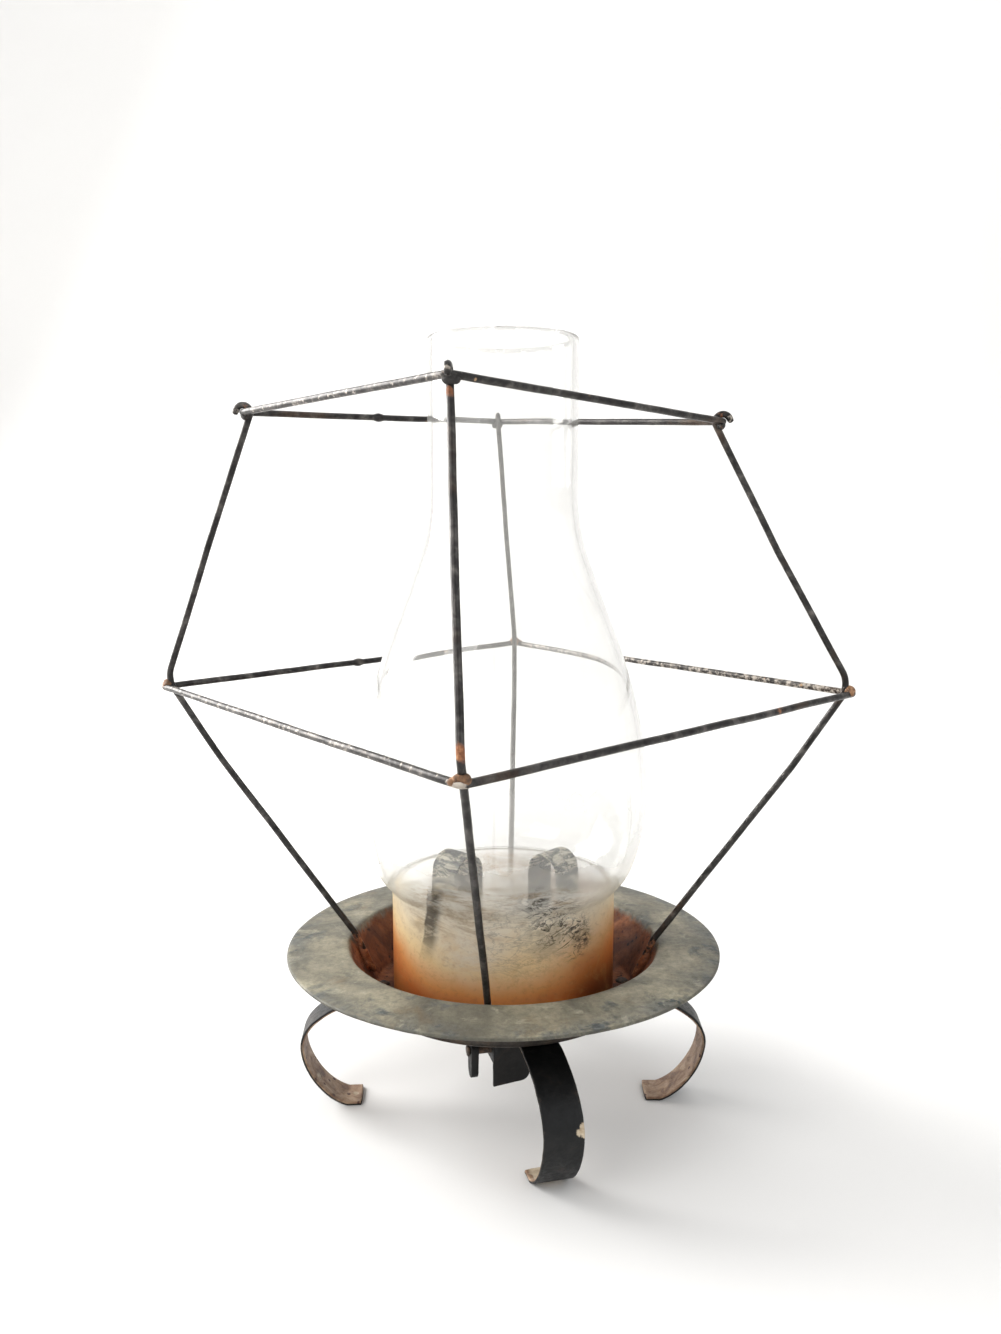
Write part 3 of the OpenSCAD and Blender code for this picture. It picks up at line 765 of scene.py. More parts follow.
def glass_shader():
    """Clear glass with a white bloom, stained from cream to rust-brown at its foot, with sooty scratches and a painted
    shade stripe where a clip stands behind it.
    """
    M = Mat("chimney_glass")
    x, z = M.axis(0), M.axis(2)
    out = M.attr("outside")

    def patch(px, py, pz, r0, r1):
        d = M.n("ShaderNodeVectorMath", operation="DISTANCE")
        M.link(M.tc.outputs["Object"], d.inputs[0])
        d.inputs[1].default_value = (px, py, pz)
        return M.range(d.outputs["Value"], r0, r1, 1, 0)

    y = M.axis(1)
    rr = M.math("SQRT", M.math("ADD", M.math("MULTIPLY", x, x), M.math("MULTIPLY", y, y)))
    face = M.math("DIVIDE", M.math("MULTIPLY", y, -1.0), rr)
    # the stain stands higher on the side that faced the draught
    lift = M.range(face, 0.0, 1.0, 0.0, 0.0125)
    rag = M.math("MULTIPLY", M.math("SUBTRACT", M.noise(34, 6, 0.62, 0.6), 0.5), 0.010)
    zz = M.math("ADD", z, rag)
    zl = M.math("SUBTRACT", M.math("ADD", z, M.math("MULTIPLY", rag, 0.45)), lift)
    zr = M.math("ADD", M.math("ADD", zz, M.math("MULTIPLY", M.math("SUBTRACT", lift, 0.0095), 0.9)), M.range(face, 0.1, -0.6, 0.0, 0.034))
    smear = M.noise(48, 7, 0.68, 1.6, stretch=(1, 1, 1.8))
    fine = M.noise(420, 5, 0.72, 0.4, stretch=(1, 1, 1.6))
    film = M.math("ADD", M.range(zl, 0.0785, 0.0715, 0.0, 0.44), M.range(zl, 0.072, 0.054, 0.0, 0.26))
    film = M.math("MULTIPLY", film, M.range(smear, 0.30, 0.62, 0.84, 1.06))
    milk = M.math("MULTIPLY", M.range(z, 0.118, 0.074, 0.0, 0.24), M.range(M.noise(26, 4, 0.5, 0.4, loc=(4, 1, 1), stretch=(1, 1, 2)), 0.3, 0.7, 0.8, 1.2))
    film = M.math("ADD", film, milk)
    bloom = M.math("MULTIPLY", M.range(z, 0.080, 0.235, 0.17, 0.12), M.range(M.noise(22, 5, 0.6, 0.8, loc=(3, 3, 3)), 0.3, 0.7, 0.7, 1.3))
    film = M.math("ADD", film, bloom, True)
    lip = M.math("MULTIPLY", M.range(z, 0.2568, 0.2588), M.range(M.noise(300, 4, 0.6), 0.3, 0.6, 0.25, 0.6))
    film = M.math("MAXIMUM", film, lip)
    stain = M.ramp(M.range(zr, 0.038, 0.092, 0, 1, False), [
        (0.00, srgb(74, 36, 24)), (0.10, srgb(124, 60, 34)), (0.20, srgb(188, 100, 52)), (0.32, srgb(228, 160, 98)),
        (0.48, srgb(240, 214, 166)), (0.66, srgb(232, 220, 194)), (0.84, srgb(236, 232, 220)), (1.0, srgb(240, 239, 234))])
    side = M.math("MULTIPLY", M.range(x, 0.010, 0.032), M.range(zz, 0.078, 0.056))
    stain = M.mix(M.math("MULTIPLY", side, 0.8), stain, srgb(196, 116, 56))
    corner = M.math("MULTIPLY", M.range(x, 0.018, 0.034), M.range(zz, 0.060, 0.046))
    stain = M.mix(M.math("MULTIPLY", corner, 0.7), stain, srgb(84, 46, 30))
    lside = M.math("MULTIPLY", M.range(x, -0.020, -0.036), M.range(zz, 0.066, 0.048))
    stain = M.mix(M.math("MULTIPLY", lside, 0.6), stain, srgb(202, 130, 68))
    stain = M.mix(lip, stain, srgb(150, 149, 146))
    pale = M.math("MULTIPLY", patch(-0.0085, -0.0385, 0.072, 0.005, 0.019), M.range(smear, 0.35, 0.6, 0.35, 0.9))
    col = M.mix(pale, stain, srgb(232, 224, 208))
    tan = M.math("MULTIPLY", M.range(M.noise(44, 7, 0.72, 1.2, loc=(6, 6, 1), stretch=(1, 1, 4.0)), 0.44, 0.60), M.math("MULTIPLY", M.range(zl, 0.0785, 0.075), M.range(zl, 0.056, 0.062)))
    tan = M.math("MULTIPLY", tan, M.math("MULTIPLY", M.range(x, 0.034, 0.020), M.range(x, -0.034, -0.024)))
    tan = M.math("MULTIPLY", tan, M.range(M.noise(330, 5, 0.7), 0.3, 0.6, 0.6, 1.0))
    col = M.mix(M.math("MULTIPLY", tan, 0.70), col, srgb(170, 146, 112))
    ochre = M.math("MULTIPLY", M.range(M.noise(70, 6, 0.7, 1.2, loc=(8, 1, 4), stretch=(1, 1, 1.5)), 0.50, 0.68), M.range(zz, 0.080, 0.066))
    col = M.mix(M.math("MULTIPLY", ochre, 0.28), col, srgb(204, 160, 100))
    grime = M.math("MULTIPLY", M.range(fine, 0.50, 0.68), M.range(zl, 0.078, 0.070))
    col = M.mix(M.math("MULTIPLY", grime, 0.22), col, srgb(140, 104, 70))

    def ridges(scale, loc, width, distort, turn=0.65):
        n = M.noise(scale, 6, 0.60, distort, vec=M.co(loc=loc, rot=(0, turn, 0), scale=(1, 1, 2.6)))
        return M.range(M.math("ABSOLUTE", M.math("SUBTRACT", n, 0.5)), 0.0, width, 1, 0)
    lines = M.math("MAXIMUM", ridges(44, (5, 2, 1), 0.020, 1.4), ridges(66, (1, 9, 4), 0.019, 1.2, 1.05))
    lines = M.math("MAXIMUM", lines, M.math("MULTIPLY", ridges(112, (2, 4, 7), 0.022, 1.2, 0.3), 0.7))
    where = M.math("MAXIMUM", patch(0.0175, -0.0350, 0.0765, 0.005, 0.0125), patch(0.0245, -0.0290, 0.0690, 0.003, 0.0095))
    soot = M.math("MULTIPLY", M.math("MULTIPLY", M.math("MULTIPLY", lines, where), 1.7, True), M.range(M.noise(90, 5, 0.6, 0.4, loc=(3, 8, 2)), 0.34, 0.56, 0.35, 0.92))
    faint = M.math("MULTIPLY", M.math("MULTIPLY", lines, patch(0.008, -0.038, 0.074, 0.008, 0.022)), 0.34)
    soot = M.math("MAXIMUM", soot, faint)
    blot = M.math("MULTIPLY", M.math("MAXIMUM", patch(0.0118, -0.0415, 0.0850, 0.002, 0.0075), patch(0.0272, -0.0266, 0.0672, 0.001, 0.0060)), M.range(M.noise(170, 7, 0.75, 1.5), 0.42, 0.60, 0, 0.95))
    grey = M.math("MULTIPLY", patch(0.018, -0.034, 0.074, 0.004, 0.017), M.range(M.noise(110, 7, 0.72, 1.4, loc=(2, 2, 9)), 0.42, 0.64, 0, 0.45))
    col = M.mix(grey, col, srgb(126, 116, 94))
    col = M.mix(M.math("MAXIMUM", soot, blot), col, srgb(38, 36, 36))
    # painted shade: the dark shape of the clip behind the glass, painted onto the film as a stripe
    drift = M.math("MULTIPLY", M.math("SUBTRACT", z, 0.075), -0.16)
    off = M.math("ADD", M.math("ADD", x, 0.0205), M.math("ADD", drift, M.math("MULTIPLY", M.math("SUBTRACT", M.noise(120, 5, 0.6), 0.5), 0.0022)))
    painted_clip_shade = M.math("MULTIPLY", M.math("MULTIPLY", M.range(off, -0.0030, -0.0022), M.range(off, 0.0034, 0.0002)), M.range(face, 0.3, 0.5))
    painted_clip_shade = M.math("MULTIPLY", painted_clip_shade, M.math("MULTIPLY", M.range(z, 0.0580, 0.0720), M.range(z, 0.0900, 0.0860)))
    painted_clip_shade = M.math("MULTIPLY", painted_clip_shade, M.range(M.noise(130, 6, 0.7, 0.8, loc=(1, 5, 5), stretch=(1, 1, 2.5)), 0.36, 0.58, 0.45, 1.0))
    col = M.mix(M.math("MULTIPLY", painted_clip_shade, 0.85), col, srgb(54, 48, 42))
    film = M.math("MAXIMUM", film, M.math("MULTIPLY", M.math("MAXIMUM", soot, blot), 0.92))
    film = M.math("MULTIPLY", film, out, True)

    dirt = M.n("ShaderNodeBsdfPrincipled")
    M.link(col, dirt.inputs["Base Color"])
    dirt.inputs["Roughness"].default_value = 0.4
    dirt.inputs["Specular IOR Level"].default_value = 0.4
    M.link(M.bump(M.math("ADD", fine, M.math("MULTIPLY", soot, -0.6)), 0.25, 0.0003), dirt.inputs["Normal"])
    tl = M.n("ShaderNodeBsdfTranslucent")
    M.link(col, tl.inputs["Color"])
    mixd = M.n("ShaderNodeMixShader")
    mixd.inputs[0].default_value = 0.5
    M.link(dirt.outputs[0], mixd.inputs[1])
    M.link(tl.outputs[0], mixd.inputs[2])
    glass = M.bsdf
    glass.inputs["Base Color"].default_value = (0.99, 0.99, 0.985, 1)
    glass.inputs["Transmission Weight"].default_value = 1.0
    glass.inputs["Roughness"].default_value = 0.012
    glass.inputs["IOR"].default_value = 1.45
    mx = M.n("ShaderNodeMixShader")
    M.link(film, mx.inputs[0])
    M.link(glass.outputs[0], mx.inputs[1])
    M.link(mixd.outputs[0], mx.inputs[2])
    M.link(mx.outputs[0], M.out.inputs["Surface"])
    return M.m


WIRE_M = wire_material()
PAN_M = pan_material()
STRAP_M = strap_material()
CLIP_M = clip_material()
RIVET_M = rust_material("rivet_iron", srgb(26, 22, 20), srgb(62, 50, 42), srgb(110, 86, 64), 420)
CUP_M = rust_material("cup_iron", srgb(48, 26, 18), srgb(104, 58, 34), srgb(150, 96, 60))
SOLDER_M = solder_material()
GLASS_M = glass_shader()


def near(verts, spots):
    """For each point the strongest pull of spots (point, reach, strength)."""
    Vv = np.asarray(verts, float)
    out = np.zeros(len(Vv))
    for p, reach, k in spots:
        d = np.linalg.norm(Vv - np.asarray(p), axis=1) / reach
        out = np.maximum(out, k * np.clip(1 - d, 0, 1) ** 0.8)
    return out


# ------------------------------------------------------------------ cage
names = ["front", "right", "back", "left"]
top_g = [corner_g(TOP, i) for i in range(4)]
mid_g = [corner_g(MID, i) for i in range(4)]


def weld_at(P, i, f, h):
    return (P[i] * (1 - f) + P[(i + 1) % 4] * f, 2.2, h)


def cage_ring(name, P, bumps, seed, rust, tan):
    path = rounded(P, [CORNER] * 4, True)
    v, f = tube(path, WIRE / 2, True, seed=seed, wobble=0.16, bumps=bumps)
    A = np.asarray(v, float)
    # painted sheen: the front-left arms of both rings and the back-right arm of the middle ring turn pale tan as if
    # catching the light
    painted_sheen = np.where((A[:, 0] > 2) & (A[:, 1] > 2), 0.54, 0.0) if name == "middle_ring" else np.zeros(len(A))
    painted_sheen = np.maximum(painted_sheen, np.where((A[:, 0] < -3) & (A[:, 1] < -3), 0.47, 0.0))
    ob = new_piece(name + "_wire", v, f, "lantern", WIRE_M, [name], attrs={"rust": near(v, rust), "tan": np.maximum(near(v, tan), painted_sheen)})
    return ob


cage_ring("top_ring", TOP, [weld_at(TOP, 2, 0.51, 0.5)], 1.0,
          [(g, 3.6, 0.55) for g in top_g],
          [(top_g[0], 2.6, 0.7)])
cage_ring("middle_ring", MID, [weld_at(MID, 2, 0.51, 0.5)], 2.0,
          [(mid_g[3], 4, 0.75), (mid_g[1], 4, 0.5), (mid_g[2], 4, 0.6), (mid_g[0] + V(22, 22, 1), 3.0, 0.6), (mid_g[1] + V(-30, -30, -1), 3.5, 0.8)],
          [(mid_g[0] + V(-1.2, 0.2, 0), 5.5, 0.95), (mid_g[1], 5, 0.6), (mid_g[3] + V(2, -3, 0), 3, 0.4)])
for i, n in enumerate(names):
    path = upright_path(i)
    v, f = tube(path, WIRE / 2, False, seed=3.0 + i, wobble=0.14)
    k = kink(i)
    rust = [(top_g[i] + hook_u(i) * 2, 4.5, 0.55), (k, 3.2, 0.6), (base_top(i) + V(0, 0, -3), 8, 0.7), (base_end(i), 12, 0.95)]
    if i == 0:
        rust = [(top_g[i] + V(0, 0, -4.5), 3.4, 0.72), (k + V(0, 0, 1.5), 4.0, 1.0), (base_top(0) + V(0, 0, -5), 4, 0.8)]
    tan = [(top_g[i] + hook_o(i) * 2.4, 3.2, 0.75)]
    if i == 0:
        tan += [(base_top(0) + V(0, 1, -1.0), 2.6, 1.1)]
    new_piece(f"upright_{n}_wire", v, f, "lantern", WIRE_M, [f"upright_{n}"], attrs={"rust": near(v, rust), "tan": near(v, tan)})

# solder at the crossings
parts = []
for i in range(4):
    o, u = hook_o(i), hook_u(i)
    c = top_g[i] - o * TOUCH / 2 - u * 0.5
    side = np.cross(o, u)
    parts.append(blob(c, 1.75, side, 20 + i, 1.25))
    parts.append(blob(c + side * 1.6 * (1 if i % 2 else -1) - u * 0.6, 1.1, side, 30 + i, 1.3, 20))
v, f = merge(parts)
ob = new_piece("top_solder_runs", v, f, "lantern", SOLDER_M, ["top_solder"], attrs={"rust": near(v, [(top_g[0], 6, 0.6), (top_g[2], 6, 0.5)]), "dark": near(v, [(g, 9, 0.85) for g in top_g])})
fix_normals(ob)
parts = []
for i in range(4):
    c = mid_g[i] + mid_n(i) * TOUCH / 2
    tang = unit(np.cross(mid_n(i), unit(base_top(i) - mid_g[i])))
    parts.append(blob(c, 1.9, tang, 40 + i, 1.3))
    parts.append(blob(c + tang * 2.0 + V(0, 0, -0.4), 1.15, tang, 50 + i, 1.5, 20))
v, f = merge(parts)
ob = new_piece("middle_solder_runs", v, f, "lantern", SOLDER_M, ["middle_solder"], attrs={"rust": near(v, [(mid_g[3] + V(0, 1, 1), 4, 1.0), (mid_g[1], 5, 0.5)]), "dark": near(v, [(mid_g[3] + V(3, -1, -1), 4, 1.0), (mid_g[1] + V(0, 0, -3), 3, 1.0)])})
fix_normals(ob)
parts = []
for i in range(4):
    d = unit(base_end(i) - base_top(i))
    inward = off_axis(polar(1, base_az(i) + 180), d)
    c = base_top(i) + d * 8.5 - inward * 0.5
    parts.append(blob(c, 1.75, d, 60 + i, 2.3))
    parts.append(blob(c + d * 3.0 - inward * 0.5 + np.cross(d, inward) * 0.9, 1.2, d, 70 + i, 2.0, 20))
v, f = merge(parts)
ob = new_piece("well_solder_runs", v, f, "lantern", SOLDER_M, ["well_solder"], attrs={"rust": np.full(len(v), 0.62), "dark": np.zeros(len(v))})
fix_normals(ob)

# ------------------------------------------------------------------ pan
RIM_R, FLOOR_R = 74.1, 46.1


def arc(c, r, a0, a1, k):
    return [(c[0] + r * math.cos(math.radians(a0 + (a1 - a0) * j / k)), c[1] + r * math.sin(math.radians(a0 + (a1 - a0) * j / k))) for j in range(k + 1)]


def lin(a, b, step=1.2):
    k = max(1, int(math.hypot(b[0] - a[0], b[1] - a[1]) / step))
    return [(a[0] + (b[0] - a[0]) * j / k, a[1] + (b[1] - a[1]) * j / k) for j in range(k)]


edge_z = RIM_Z - 0.9
under = lin((0, FLOOR_B), (FLOOR_R - 1.3, FLOOR_B)) + arc((FLOOR_R - 1.3, FLOOR_B + 1.3), 1.3, -90, -22, 5)
under += lin(under[-1], (MOUTH + 0.3, RIM_Z - 1.5)) + [(MOUTH + 0.55, RIM_Z - 1.1), (MOUTH + 1.1, RIM_Z - 0.85)]
under += lin((MOUTH + 1.9, RIM_Z - 0.83), (RIM_R - 1.5, edge_z - 0.62))
lip = [(RIM_R - 0.9, edge_z - 0.8), (RIM_R - 0.35, edge_z - 0.95), (RIM_R - 0.03, edge_z - 0.75), (RIM_R, edge_z - 0.4), (RIM_R - 0.15, edge_z - 0.1), (RIM_R - 0.6, edge_z + 0.08)]
top_side = lin((RIM_R - 1.2, edge_z + 0.2), (MOUTH + 1.3, RIM_Z - 0.03)) + [(MOUTH + 0.7, RIM_Z - 0.06), (MOUTH + 0.2, RIM_Z - 0.25), (MOUTH - 0.15, RIM_Z - 0.7)]
inner = lin((MOUTH - 0.4, RIM_Z - 1.3), (FLOOR_R - 0.75, FLOOR_T + 1.3)) + arc((FLOOR_R - 2.0, FLOOR_T + 1.3), 1.25, -10, -90, 5)
inner += lin((FLOOR_R - 3.0, FLOOR_T), (0, FLOOR_T)) + [(0, FLOOR_T)]


def pan_bump(p, r, z, a):
    q = p.copy()
    w = np.clip((r - 54) / 6, 0, 1)
    dz = w * (0.16 * fbm((math.cos(a) * 60, math.sin(a) * 60, 0), 38, 2, 11) + 0.10 * fbm((p[0], p[1], 0), 15, 2, 12))
    q[2] += dz
    er = np.clip((r - 70) / 4, 0, 1)
    q[:2] *= 1 + er * (0.0016 * fbm((math.cos(a) * 74, math.sin(a) * 74, 0), 16, 3, 13) - 0.0012)
    if 42 < z < 56 and r < 54:
        s = 1 + 0.0022 * fbm((p[0], p[1], z), 14, 2, 14)
        q[:2] *= s
    return q


v, f = lathe(under + lip + top_side + inner, 300, pan_bump)
ob = new_piece("pan_sheet", v, f, "lantern", PAN_M, ["pan"])
fix_normals(ob)

# ------------------------------------------------------------------ chimney
c0 = FLOOR_T + 0.1
F_R, B_R, N_R, G_T = 38.1, 48.8, 24.7, 2.0
bulge = [(F_R, c0 + 10), (F_R, c0 + 35), (F_R + 1.1, c0 + 38), (F_R + 4.1, c0 + 41.6), (F_R + 6.1, c0 + 45.4), (F_R + 8.4, c0 + 52.5),
         (B_R - 0.5, c0 + 62), (B_R, c0 + 71), (B_R - 0.9, c0 + 84), (B_R - 3.9, c0 + 100), (N_R + 15.6, c0 + 116), (N_R + 10.4, c0 + 130),
         (N_R + 5.8, c0 + 142.5), (N_R + 2.1, c0 + 153.5), (N_R + 0.4, c0 + 163), (N_R, c0 + 172), (N_R, c0 + 190)]
mid_curve = [tuple(p) for p in cr_chain(bulge, 9)]
outer = [(F_R - 0.25, c0), (F_R - 0.05, c0 + 0.35)] + lin((F_R, c0 + 1), (F_R, c0 + 35), 1.6)
outer += [p for p in mid_curve if p[1] > c0 + 35] + lin((N_R, c0 + 191), (N_R, c0 + 218.6), 1.8)
rimtop = [(N_R, c0 + 218.7), (N_R - 0.12, c0 + 219.15), (N_R - 0.45, c0 + 219.4), (N_R - 1.0, c0 + 219.4), (N_R - 1.6, c0 + 219.38), (N_R - 1.9, c0 + 219.1), (N_R - 2, c0 + 218.6)]
inner_g = [(r - G_T, z) for r, z in outer if z > c0 + 0.4][::-1] + [(F_R - G_T + 0.1, c0 + 0.2), (F_R - G_T + 0.4, c0)]


def glass_bump(p, r, z, a):
    q = p.copy()
    if z > c0 + 2:
        s = 1 + 0.0016 * fbm((math.cos(a) * 30, math.sin(a) * 30, z * 0.4), 22, 2, 15)
        q[:2] *= s
    return q


v, f = lathe(outer + rimtop + inner_g, 192, glass_bump)
out_w = np.repeat([1.0] * (len(outer) + 2) + [0.0] * (len(rimtop) - 2 + len(inner_g)), 192)
ob = new_piece("chimney_glass", v, f, "chimney", GLASS_M, ["chimney"], attrs={"outside": out_w})
fix_normals(ob)

# ------------------------------------------------------------------ clips
CL_T, CL_W, CL_IN, CL_R = 0.8, 11.5, 16.2, 5.7
clip_path = [(29.5, FLOOR_T + 0.4), (CL_IN + 3, FLOOR_T + 0.4)]
clip_path += [(CL_IN + 2 - 2 * math.sin(math.radians(a)), FLOOR_T + 2.4 - 2 * math.cos(math.radians(a))) for a in range(0, 76, 15)]
clip_path += [(CL_IN, FLOOR_T + 3), (CL_IN, FLOOR_T + 46.5)]
clip_path += [(CL_IN + CL_R + CL_R * math.cos(math.radians(a)), FLOOR_T + 46.9 + CL_R * math.sin(math.radians(a))) for a in range(165, 14, -8)]
clip_path += [tuple(p) for p in cr_chain([(27.5, FLOOR_T + 48.2), (27.7, FLOOR_T + 45.5), (28.1, FLOOR_T + 38), (28.7, FLOOR_T + 29.5), (30.4, FLOOR_T + 23), (33.6, FLOOR_T + 17),
                                          (34.85, FLOOR_T + 13), (34.3, FLOOR_T + 9), (32.4, FLOOR_T + 5.4), (31.5, FLOOR_T + 4)], 6)]
for nm, az, sd in (("clip_left", -130, 4.0), ("clip_right", -38, 5.0)):
    v, f = strap(clip_path, CL_W, CL_T, az, 0.12, sd, 14, ends=(0.5, 1.0))
    ob = new_piece(nm + "_strap", v, f, "lantern", CLIP_M, [nm])
    fix_normals(ob)

# ------------------------------------------------------------------ feet
FT, FW = 1.2, 12.7
fz = FLOOR_B - FT / 2
foot_path = [(36.8, fz)] + [tuple(p) for p in cr_chain([(40, fz), (46.4, fz), (53, fz - 1.6), (60, fz - 4.4), (66.2, fz - 9), (69.4, fz - 15), (68.7, fz - 22),
                                                         (65.3, fz - 29), (60.2, fz - 34.7), (54.6, FT / 2), (50, FT / 2)], 8)] + [(49.5, FT / 2)]
FOOT_AZ = [-72, 3, 97, 187]


def foot_attrs(v, az, chips, path):
    Vv = np.asarray(v, float)
    ca, sa = math.cos(math.radians(az)), math.sin(math.radians(az))
    r = Vv[:, 0] * ca + Vv[:, 1] * sa
    w = -Vv[:, 0] * sa + Vv[:, 1] * ca
    z = Vv[:, 2]
    P = np.array(path)
    inner, edge = np.zeros(len(Vv)), np.zeros(len(Vv))
    T = np.gradient(P, axis=0)
    for k in range(len(Vv)):
        j = int(np.argmin((P[:, 0] - r[k]) ** 2 + (P[:, 1] - z[k]) ** 2))
        t = T[j] / np.linalg.norm(T[j])
        side = (r[k] - P[j, 0]) * -t[1] + (z[k] - P[j, 1]) * t[0]
        # the C opens towards the axis, so its inner face is on the right-hand side of travel
        inner[k] = 1.0 if side < -0.2 else 0.0
        edge[k] = np.clip((abs(w[k]) - 5.4) / 0.8, 0, 1)
    return {"inner": inner, "edge": edge, "chip": near(v, chips)}


chips = {
    "foot_front": [(polar(69.2, -72 + 5.0, 23.4), 4.0, 1.0), (polar(53, -72, 0.8), 9, 1.1)],
    "foot_right": [(polar(51, 3, 0.6), 4, 0.5)],
    "foot_back": [(polar(66, 99, 12), 3, 0.8)],
    "foot_left": [(polar(64, 189, 9), 3, 0.8), (polar(52, 187, 0.6), 4, 0.6)],
}
for i, n in enumerate(names):
    v, f = strap(foot_path, FW, FT, FOOT_AZ[i], 0.10, 8.0 + i, 18, ends=(0.6, 0.5))
    at = foot_attrs(v, FOOT_AZ[i], chips["foot_" + n], foot_path)
    ob = new_piece(f"foot_{n}_strap", v, f, "lantern", STRAP_M, ["foot_" + n], attrs=at)
    fix_normals(ob)


# ------------------------------------------------------------------ rivets, cup, catch
def rivet(grip, seed, base, n=36):
    """A hand-set rivet on Z, heads domed and a little off round, moved by base()."""
    prof = [(0, -1.1), (0.6, -1.08), (1.1, -0.95), (1.5, -0.76), (1.9, -0.5), (2.12, -0.22), (2.2, -0.02), (1.25, 0), (1.25, grip),
            (2.2, grip + 0.02), (2.12, grip + 0.22), (1.9, grip + 0.5), (1.5, grip + 0.76), (1.1, grip + 0.95), (0.6, grip + 1.06), (0, grip + 1.1)]

    def b(p, r, z, a):
        q = p.copy()
        if r > 1.3:
            q[:2] *= 1 + 0.05 * fbm((math.cos(a) * 2, math.sin(a) * 2, seed), 2.2, 2, seed)
        q[2] += 0.09 * fbm((p[0], p[1], seed * 2), 1.3, 2, seed + 1) * (1 if 0.1 < r < 2 else 0)
        return q
    v, f = lathe(prof[:-1] + [prof[-1]], n, b)
    return [base(p) for p in v], f


def at_polar(r, az, side, z):
    c, s = math.cos(math.radians(az)), math.sin(math.radians(az))
    return lambda p: V((r + p[0]) * c - (side + p[1]) * s, (r + p[0]) * s + (side + p[1]) * c, z + p[2])


def make_rivets(name, node, sets, grip, body="lantern"):
    v, f = merge([rivet(grip, 80 + k, b) for k, b in enumerate(sets)])
    ob = new_piece(name, v, f, body, RIVET_M, [node], angle=50)
    fix_normals(ob)
    return ob


make_rivets("foot_rivet_heads", "foot_rivets", [at_polar(41.8, a, s, FLOOR_B - FT) for a in FOOT_AZ for s in (-3.2, 3.2)], FT + 0.8)
make_rivets("clip_rivet_heads", "clip_rivets", [at_polar(24.5, a, 0, FLOOR_B) for a in (-130, -38)], 1.6)
make_rivets("cup_rivet_head", "cup_rivet", [at_polar(0, 0, 0, FLOOR_B)], 1.6)

cup = lin((0, FLOOR_T), (10.6, FLOOR_T), 1.0) + [(10.95, FLOOR_T + 0.12), (11.2, FLOOR_T + 0.4), (11.3, FLOOR_T + 0.8)] + lin((11.3, FLOOR_T + 1), (11.3, FLOOR_T + 12.6), 1.0)
cup += [(11.5, FLOOR_T + 13.1), (11.95, FLOOR_T + 13.6), (12.1, FLOOR_T + 13.85), (11.9, FLOOR_T + 14), (11.5, FLOOR_T + 13.9), (10.8, FLOOR_T + 13.4)]
cup += lin((10.5, FLOOR_T + 13), (10.5, FLOOR_T + 2.1), 1.0) + [(10.3, FLOOR_T + 1.6), (9.9, FLOOR_T + 1.1), (9.2, FLOOR_T + 0.85)] + lin((8.5, FLOOR_T + 0.8), (0, FLOOR_T + 0.8), 1.0) + [(0, FLOOR_T + 0.8)]


def cup_bump(p, r, z, a):
    q = p.copy()
    if z > FLOOR_T + 4 and r > 5:
        q[:2] *= 1 + 0.004 * fbm((p[0], p[1], z), 7, 2, 17)
    return q


v, f = lathe(cup, 96, cup_bump)
ob = new_piece("candle_cup_shell", v, f, "lantern", CUP_M, ["candle_cup"])
fix_normals(ob)


CA, SA = math.cos(math.radians(18)), math.sin(math.radians(18))


def catch_at(p):
    return V(4.2 + p[0] * CA - p[1] * SA, -28 + p[0] * SA + p[1] * CA, FLOOR_B + p[2])


make_rivets("catch_rivet_heads", "catch_rivets", [lambda p, s=s: catch_at(V(s + p[0], 7.5 + p[1], -1 + p[2])) for s in (-2.8, 2.8)], 1.8)



def eased(node, name, body, material, width, cuts=0):
    """A copy of a plain iron part with its edges rubbed round and its faces a little uneven."""
    import bmesh
    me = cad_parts[node].data.copy()
    me.name = name
    bm = bmesh.new()
    bm.from_mesh(me)
    bmesh.ops.remove_doubles(bm, verts=bm.verts, dist=1e-6)
    bmesh.ops.dissolve_limit(bm, angle_limit=math.radians(1), verts=bm.verts, edges=bm.edges)
    sharp = [e for e in bm.edges if len(e.link_faces) == 2 and e.calc_face_angle(0) > math.radians(35)]
    bmesh.ops.bevel(bm, geom=sharp, offset=width * MM, segments=3, affect="EDGES", profile=0.5, clamp_overlap=True)
    bmesh.ops.triangulate(bm, faces=bm.faces)
    for _ in range(cuts):
        long = [e for e in bm.edges if e.calc_length() > 1.2 * MM]
        bmesh.ops.subdivide_edges(bm, edges=long, cuts=1)
        bmesh.ops.triangulate(bm, faces=bm.faces)
    for v_ in bm.verts:
        p = np.array(v_.co) * 1000
        v_.co += v_.normal * (0.045 * fbm(p, 4.0, 3, 33) * MM)
    bm.to_mesh(me)
    bm.free()
    me.materials.clear()
    me.materials.append(material)
    ob = bpy.data.objects.new(name, me)
    bpy.context.scene.collection.objects.link(ob)
    for p in me.polygons:
        p.use_smooth = True
    try:
        me.set_sharp_from_angle(angle=math.radians(38))
    except AttributeError:
        pass
    co = np.array([v_.co for v_ in me.vertices]) * 1000
    lo = co[:, 2].min()
    for k, vals in (("inner", np.zeros(len(co))), ("edge", np.clip((lo + 1.2 - co[:, 2]) / 1.2, 0, 1)), ("chip", np.zeros(len(co)))):
        a = me.attributes.new(k, "FLOAT", "POINT")
        a.data.foreach_set("value", vals.astype(np.float32))
    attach(ob, body)
    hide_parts(node)
    return ob


eased("catch_bracket", "catch_bracket_plate", "lantern", STRAP_M, 0.22, 3)
eased("catch_lever", "catch_lever_arm", "catch_lever", STRAP_M, 0.25, 2)
eased("catch_pin", "catch_pin_shaft", "lantern", RIVET_M, 0.12, 1)

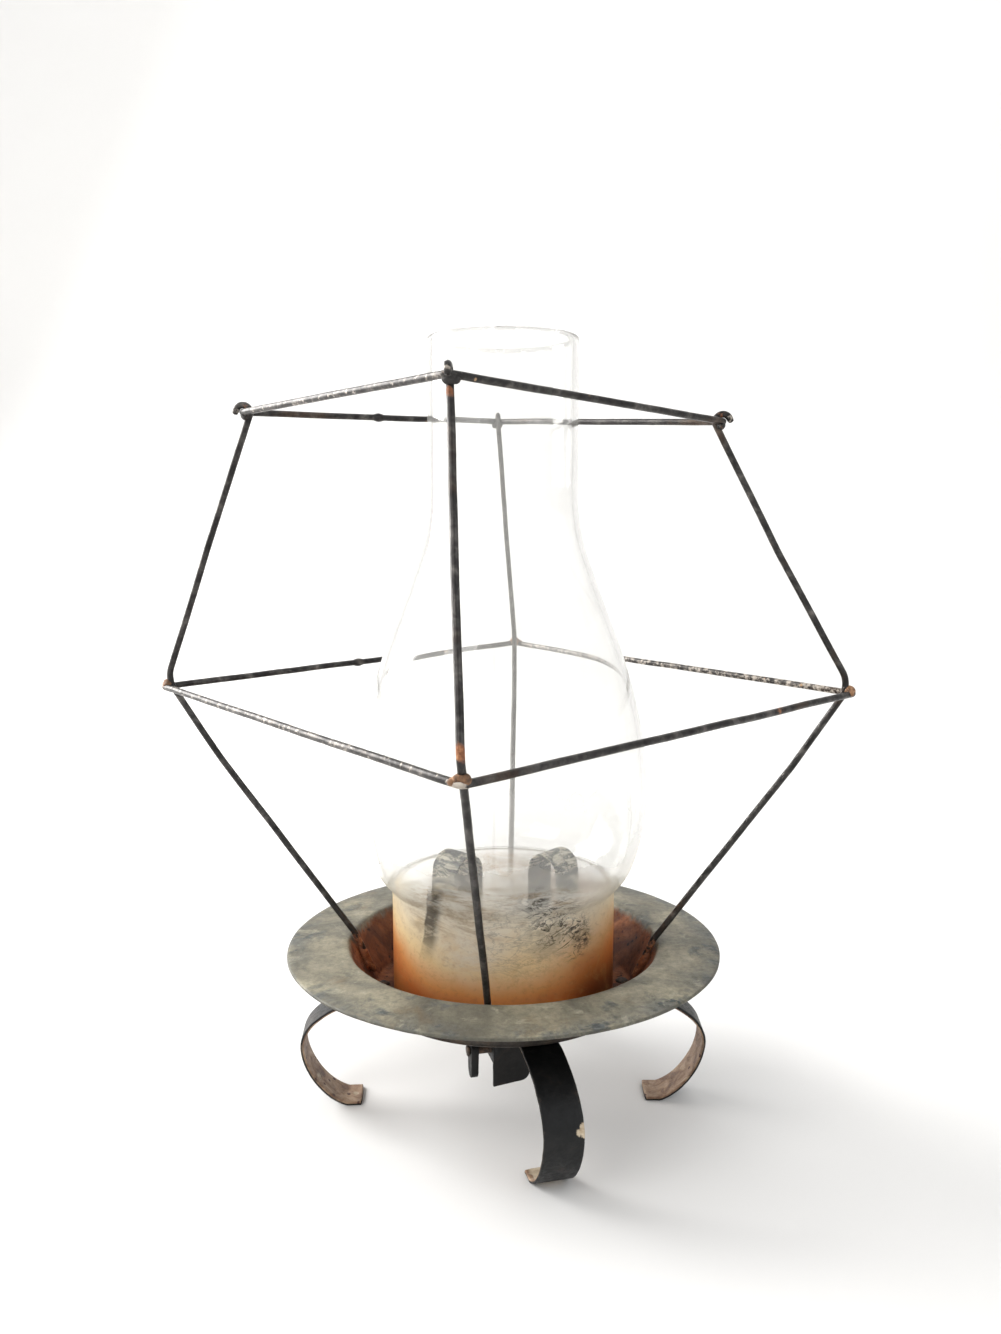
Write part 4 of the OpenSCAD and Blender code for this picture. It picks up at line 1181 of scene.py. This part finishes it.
# ------------------------------------------------------------------ floor, light
me = bpy.data.meshes.new("floor")
rows = []
prof = [(-2.2, 0.0), (1.15, 0.0)]
for a in range(0, 91, 6):
    prof.append((1.15 + 0.6 * math.sin(math.radians(a)), 0.6 - 0.6 * math.cos(math.radians(a))))
prof.append((1.75, 3.2))
vv, ff = [], []
for (y, z) in prof:
    vv += [(-3.5, y, z), (3.5, y, z)]
for i in range(len(prof) - 1):
    ff.append((2 * i, 2 * i + 1, 2 * i + 3, 2 * i + 2))
me.from_pydata(vv, [], ff)
floor = bpy.data.objects.new("floor", me)
for p in me.polygons:
    p.use_smooth = True
bpy.context.scene.collection.objects.link(floor)
FM = Mat("floor_white")
FM.set("Base Color", (0.80, 0.795, 0.785))
FM.set("Roughness", 0.9)
FM.set("Specular IOR Level", 0.1)
me.materials.append(FM.m)


def area(name, loc, target, size, power, color=(1, 1, 1), size_y=None):
    d = bpy.data.lights.new(name, "AREA")
    d.energy = power
    d.color = color
    d.size = size
    if size_y:
        d.shape = "RECTANGLE"
        d.size_y = size_y
    o = bpy.data.objects.new(name, d)
    bpy.context.scene.collection.objects.link(o)
    o.location = loc
    o.rotation_euler = (Vector(target) - Vector(loc)).to_track_quat("-Z", "Y").to_euler()
    return o


area("key", (-1.2, -1.3, 1.5), (0, 0, 0.13), 1.2, 16, (1.0, 0.985, 0.96))
area("fill", (1.5, -0.9, 1.0), (0, 0, 0.12), 1.4, 6, (0.94, 0.97, 1.0))
area("back", (0.2, 1.1, 2.0), (0, 1.3, 0.3), 2.0, 10)
area("window", (-1.35, 0.5, 0.75), (0, 0, 0.14), 0.9, 40, (1.0, 0.99, 0.975), 1.1)
world = bpy.data.worlds.new("studio")
bpy.context.scene.world = world
world.use_nodes = True
bg = world.node_tree.nodes.get("Background") or world.node_tree.nodes.new("ShaderNodeBackground")
bg.inputs["Color"].default_value = (1, 1, 1, 1)
bg.inputs["Strength"].default_value = 0.72
bpy.context.scene.view_settings.view_transform = "Standard"
bpy.context.scene.view_settings.look = "None"
bpy.context.scene.cycles.max_bounces = 16
bpy.context.scene.cycles.transmission_bounces = 12
bpy.context.scene.cycles.transparent_max_bounces = 16
